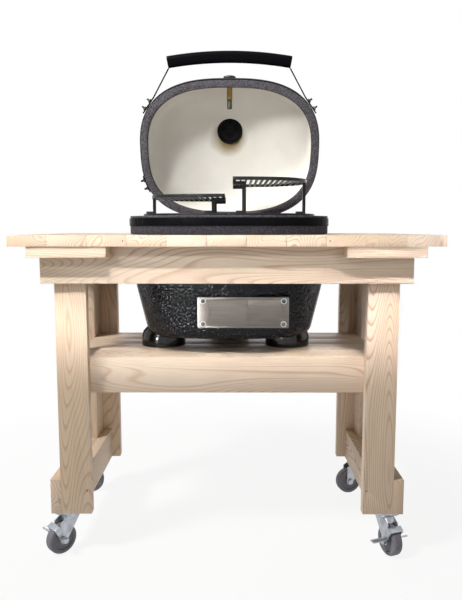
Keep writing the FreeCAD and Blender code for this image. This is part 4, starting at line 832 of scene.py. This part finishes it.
def bolt_end():
    """A nut standing on the ground at the origin with a threaded rod through it."""
    bpy.ops.object.select_all(action="DESELECT")
    bpy.ops.mesh.primitive_cylinder_add(vertices=6, radius=NUT_R * MM, depth=NUT_HIGH * MM)
    nut = bpy.context.object
    nut.data.transform(Matrix.Translation((0, 0, NUT_HIGH / 2 * MM)))
    corner = nut.modifiers.new("corners", "BEVEL")
    corner.width = NUT_EASE * MM
    corner.segments = 2
    bpy.ops.object.modifier_apply(modifier=corner.name)
    bpy.ops.object.select_all(action="DESELECT")
    bpy.ops.mesh.primitive_circle_add(vertices=20, radius=ROD_R * MM, fill_type="NGON")
    rod = bpy.context.object
    bpy.ops.object.mode_set(mode="EDIT")
    bpy.ops.mesh.select_all(action="SELECT")
    for step in range(THREADS):
        bpy.ops.mesh.extrude_region_move(TRANSFORM_OT_translate={"value": (0, 0, THREAD * MM)})
        size = THREAD_IN if step % 2 == 0 else 1 / THREAD_IN
        bpy.ops.transform.resize(value=(size, size, 1))
    bpy.ops.mesh.select_all(action="SELECT")
    bpy.ops.mesh.normals_make_consistent(inside=False)
    bpy.ops.object.mode_set(mode="OBJECT")
    return join([nut, rod], "bolt_end")


pattern = bolt_end()
print("faces of a bolt's end", len(pattern.data.polygons))

# %% [markdown]
# The band follows the oval, so each bolt has to point along the oval's own outward direction. That
# is the slope of the superellipse at the spot, and two more axes at right angles complete a matrix
# that carries the bolt from the origin to its hole.

# %% Places round the band
BAND_HALF_W, BAND_HALF_D, BOLT_Z, BAND_SKIN = 264.3, 207.34, 866.5, 0.3


def band_spot(turn, sign, outward, along):
    """A place on the band at an angle from the front, with its axes, as a matrix."""
    aside, front = math.sin(math.radians(turn)), math.cos(math.radians(turn))
    x = BAND_HALF_W * abs(aside) ** (2 / OVAL_POWER)
    y = -BAND_HALF_D * math.copysign(abs(front) ** (2 / OVAL_POWER), front)
    power = OVAL_POWER - 1
    slope_x = (x / BAND_HALF_W) ** power / BAND_HALF_W
    slope_y = math.copysign((abs(y) / BAND_HALF_D) ** power / BAND_HALF_D, y)
    out = Vector((slope_x, slope_y, 0)).normalized()
    forward = Vector((out.y, -out.x, 0))
    at = Vector((x, y, BOLT_Z)) + out * (BAND_SKIN + outward) + forward * along
    at, out = [Vector((sign * a.x, a.y, a.z)) for a in (at, out)]
    up = Vector((0, 0, 1))
    side = up.cross(out)
    turned = Matrix((side, up, out)).transposed().to_4x4()
    return Matrix.Translation(at * MM) @ turned


front_spot = band_spot(0, 1, 0, 0).translation / MM
print("front of the band, mm", tuple(round(c, 1) for c in front_spot))

# %% [markdown]
# Each handle arm and the strap has two bolts. The arms' nuts replace the plain bolts of the CAD.
# The strap's are an extra piece, since the CAD has its bolts in one node with the strap, so they
# only ride on the lid.

# %% Bolts on the band
ARM_TURN, ARM_THICK, STRAP_TURN, STRAP_THICK, BOLT_ASIDE = 57, 4.0, 111, 2.0, 13
for node, name, spots in (
    ("handle_bolts", "handle_nuts", [(ARM_TURN, sign, ARM_THICK) for sign in (-1, 1)]),
    ("band_clamp", "strap_nuts", [(STRAP_TURN, -1, STRAP_THICK)]),
):
    copies = []
    for turn, sign, outward in spots:
        for along in (-BOLT_ASIDE, BOLT_ASIDE):
            mesh = pattern.data.copy()
            mesh.transform(lid_place @ band_spot(turn, sign, outward, along))
            copy = bpy.data.objects.new(name, mesh)
            bpy.context.scene.collection.objects.link(copy)
            copies.append(copy)
    nuts = join(copies, name)
    bpy.ops.object.shade_smooth_by_angle(angle=EDGE_ANGLE)
    nuts.data.materials.clear()
    nuts.data.materials.append(finish["nail_steel"])
    if node == "handle_bolts":
        ride_with_node(nuts, node)
    else:
        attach(nuts, "lid")
    print(name, len(copies), "bolts")
bpy.data.objects.remove(pattern)

# %% [markdown]
# Each corner of the draft plate has a dark pan-head screw on a thin bright washer. Two cylinders
# would do, but a single disc that is inset and lifted step by step has no hidden faces: one step in
# for the washer's rim, then the head's side, its round and its nearly flat top. What stands off the
# washer gets the dark steel.

# %% Draft plate screws
WASHER_R, WASHER_HIGH, SCREW_IN = 7.4, 0.5, 6.4
HEAD_STEPS = ((2.2, 0.0), (0.05, 0.7), (0.8, 0.5), (1.2, 0.2))
HEAD_FROM = WASHER_HIGH + 0.3
screws_low, screws_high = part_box("draft_screws")
copies = []
for x in (screws_low.x + SCREW_IN * MM, screws_high.x - SCREW_IN * MM):
    for z in (screws_low.z + SCREW_IN * MM, screws_high.z - SCREW_IN * MM):
        bpy.ops.object.select_all(action="DESELECT")
        bpy.ops.mesh.primitive_circle_add(vertices=32, radius=WASHER_R * MM, fill_type="NGON")
        screw = bpy.context.object
        bpy.ops.object.mode_set(mode="EDIT")
        bpy.ops.mesh.select_all(action="SELECT")
        bpy.ops.mesh.extrude_region_move(TRANSFORM_OT_translate={
            "value": (0, 0, WASHER_HIGH * MM)})
        for inset, lift in HEAD_STEPS:
            bpy.ops.mesh.inset(thickness=inset * MM)
            bpy.ops.transform.translate(value=(0, 0, lift * MM))
        bpy.ops.mesh.select_all(action="SELECT")
        bpy.ops.mesh.normals_make_consistent(inside=False)
        bpy.ops.object.mode_set(mode="OBJECT")
        screw.data.transform(Matrix.Rotation(math.radians(90), 4, "X"))
        screw.data.transform(Matrix.Translation((x, screws_high.y, z)))
        copies.append(screw)
screws = join(copies, "draft_pan_screws")
bpy.ops.object.shade_smooth_by_angle(angle=math.radians(40))
screws.data.materials.append(finish["zinc"])
screws.data.materials.append(finish["nail_steel"])
for face in screws.data.polygons:
    face.material_index = int(face.center.y < screws_high.y - HEAD_FROM * MM)
ride_with_node(screws, "draft_screws")
print("screws", len(copies))

# %% [markdown]
# What is left is metal, felt, rubber and the ceramic firebox and shoes. Their CAD shapes are right
# already and only their edges are too sharp. Pressed sheet gets a fine edge, rods get a rounder
# one, and ceramic keeps its CAD surface with smooth shading. The thermometer's stem is steel that
# smoke has dulled.

# %% Remaining nodes
USUAL_EASE = 0.3
EASE = {"low_rack": 1.6, "high_rack": 1.6, "left_grate": 1.2, "right_grate": 1.2,
        "base_hinge": 0.5, "lid_hinge": 0.5, "handle_brackets": 0.6,
        "shoes": 0.0, "firebox": 0.0, "firebox_floor": 0.0, "fire_ring": 0.0}
SOOTED = {"thermometer": "nail_steel"}
done = set(WOOD_AXIS) | {"lid_shell", "base_shell", "handle_grip", "handle_bolts",
                         "draft_screws", "draft_pad"}
for node in frame["nodes"]:
    if node not in done:
        eased(node, EASE.get(node, USUAL_EASE), finish[SOOTED.get(node, slot_of[node])])
print("finished nodes", len(frame["nodes"]))

# %% [markdown]
# The stage is a white floor. More lamps would make paper white, but they would burn out the wood
# too. So most of the floor's white is its own glow, at the strength of white. Near the casters a
# share of it is paper, which takes their shadows, and farther out the glow takes over, so that the
# floor runs into the white background unseen.

# %% Stage
GLOW_NEAR, FADE_FROM, FADE_TO = 0.88, 0.6, 1.5
bpy.ops.object.select_all(action="DESELECT")
bpy.ops.mesh.primitive_plane_add(size=40)
sheet = bpy.context.object
sheet.name = "white_floor"
paper, tree, shader, place = start_material("white_floor_paper", Roughness=0.95)
shader.inputs["Base Color"].default_value = colour("#F4F4F3")
out_from = add(tree, "ShaderNodeVectorMath", {0: place}, operation="LENGTH").outputs["Value"]
share = add(tree, "ShaderNodeMapRange", {
    "Value": out_from, "From Min": FADE_FROM, "From Max": FADE_TO, "To Min": GLOW_NEAR},
            interpolation_type="SMOOTHSTEP").outputs[0]
# The glow is there to be seen, so less of it falls on the table as light
bounce = add(tree, "ShaderNodeLightPath").outputs["Is Diffuse Ray"]
strength = add(tree, "ShaderNodeMapRange", {"Value": bounce, "To Min": 1.0, "To Max": 0.5})
glow = add(tree, "ShaderNodeEmission", {"Color": (1, 1, 1, 1),
                                        "Strength": strength.outputs[0]}).outputs[0]
blend = add(tree, "ShaderNodeMixShader", {0: share, 1: shader.outputs[0], 2: glow}).outputs[0]
tree.links.new(blend, tree.nodes["Material Output"].inputs["Surface"])
sheet.data.materials.append(paper)
print("stage ready")

# %% [markdown]
# The world is plain white to the camera and to whatever mirrors it, so that metal and glaze show
# the same white room that stands behind the object. As light on the object it would be far too
# much, so every other ray gets only a little of it.

# %% White world
SKY_FILL = 0.06
world = bpy.data.worlds.new("soft_world")
bpy.context.scene.world = world
world.use_nodes = True
sky = world.node_tree.nodes["Background"]
sky.inputs["Color"].default_value = (1, 1, 1, 1)
ray = add(world.node_tree, "ShaderNodeLightPath")
seen = ray.outputs["Is Camera Ray"]
for name in ("Is Glossy Ray", "Is Transmission Ray"):
    seen = add(world.node_tree, "ShaderNodeMath", {0: seen, 1: ray.outputs[name]},
               operation="MAXIMUM").outputs[0]
level = add(world.node_tree, "ShaderNodeMapRange", {
    "Value": seen, "To Min": SKY_FILL, "To Max": 1.0}).outputs[0]
world.node_tree.links.new(level, sky.inputs["Strength"])
print("world", world.name, "fill", SKY_FILL)

# %% [markdown]
# The key lamp stands high at the left front, as the light in a studio often does, and its size
# keeps the shadows' edges soft. A weak wide one fills from the front. The shelf lies in the shade
# of the top, so a wide lamp behind lights it between the legs, and a flat narrow beam from above
# passes in front of the top and falls on it.

# %% Lamps


def aim(made, at, look_at):
    """Put a lamp into the scene at a place, facing a point."""
    bpy.context.scene.collection.objects.link(made)
    made.location = at
    made.rotation_euler = (Vector(look_at) - Vector(at)).to_track_quat("-Z", "Y").to_euler()


def lamp(name, at, look_at, size, power, tint, spread=180):
    """A soft lamp of a width and height that faces a point; a small spread makes it a beam."""
    light = bpy.data.lights.new(name, "AREA")
    light.shape = "RECTANGLE"
    light.size, light.size_y = size
    light.spread = math.radians(spread)
    light.energy = power
    light.color = colour(tint)[:3]
    aim(bpy.data.objects.new(name, light), at, look_at)


lamp("key_lamp", (-2.3, -1.65, 3.4), (0, -0.2, 0.7), (0.7, 0.7), 128, "#FFFCFA")
lamp("front_lamp", (0.25, -3.3, 1.0), (0, 0, 0.7), (1.2, 1.2), 3, "#FAFBFF")
lamp("rear_lamp", (0, 2.5, 1.0), (0, 0.2, 0.55), (3.2, 1.0), 28, "#FCFBFF")
lamp("low_lamp", (0, -1.968, 2.34), (0, -0.13, 0.502), (1.1, 0.16), 0.7, "#FCFBFF", 4)
print("soft lamps", len(bpy.data.lights))

# %% [markdown]
# Three spots pick out single places: the apron's right half, the lid's inside and the glaze. The
# last is there for the pebbles, which show only by their small highlights. It doesn't light what
# is matte, or it would leave a bright patch on the wood around.

# %% Spots


def spot(name, at, look_at, degrees, radius, power, gloss_only=False):
    """A lamp whose light stays in a cone that fades; gloss_only shows in reflections alone."""
    light = bpy.data.lights.new(name, "SPOT")
    light.energy = power
    light.spot_size = math.radians(degrees)
    light.spot_blend = 0.8
    light.shadow_soft_size = radius
    made = bpy.data.objects.new(name, light)
    made.visible_diffuse = not gloss_only
    aim(made, at, look_at)


spot("apron_lamp", (1.1, -2.6, 1.55), (0.34, -0.2, 0.8), 24, 0.12, 22)
spot("lid_lamp", (-1.3, -2.6, 2.1), (0.04, 0.15, 1.0), 14, 0.4, 560)
spot("bowl_lamp", (-1.5, -2.5, 0.6), (-0.14, -0.2, 0.59), 7, 0.12, 600, gloss_only=True)

# %% [markdown]
# The camera's place, tilt and lens were fitted to points of the photograph, such as the corners of
# the planks and legs. It stands a little above the table's top and looks slightly down. The lens is
# set against the picture's height, because the picture is taller than it is wide.

# %% Camera
camera_data = bpy.data.cameras.new("photo_camera")
camera_data.sensor_fit = "VERTICAL"
camera_data.sensor_height = 24
camera_data.lens = 25.056
camera = bpy.data.objects.new("photo_camera", camera_data)
bpy.context.scene.collection.objects.link(camera)
camera.location = (0.017593, -1.713645 + TABLE_Y, 0.822526)
camera.rotation_euler = (math.radians(83.408), 0, math.radians(0.285))
bpy.context.scene.camera = camera
bpy.context.scene.view_settings.view_transform = "Standard"
print("camera at", tuple(round(c, 4) for c in camera.location))
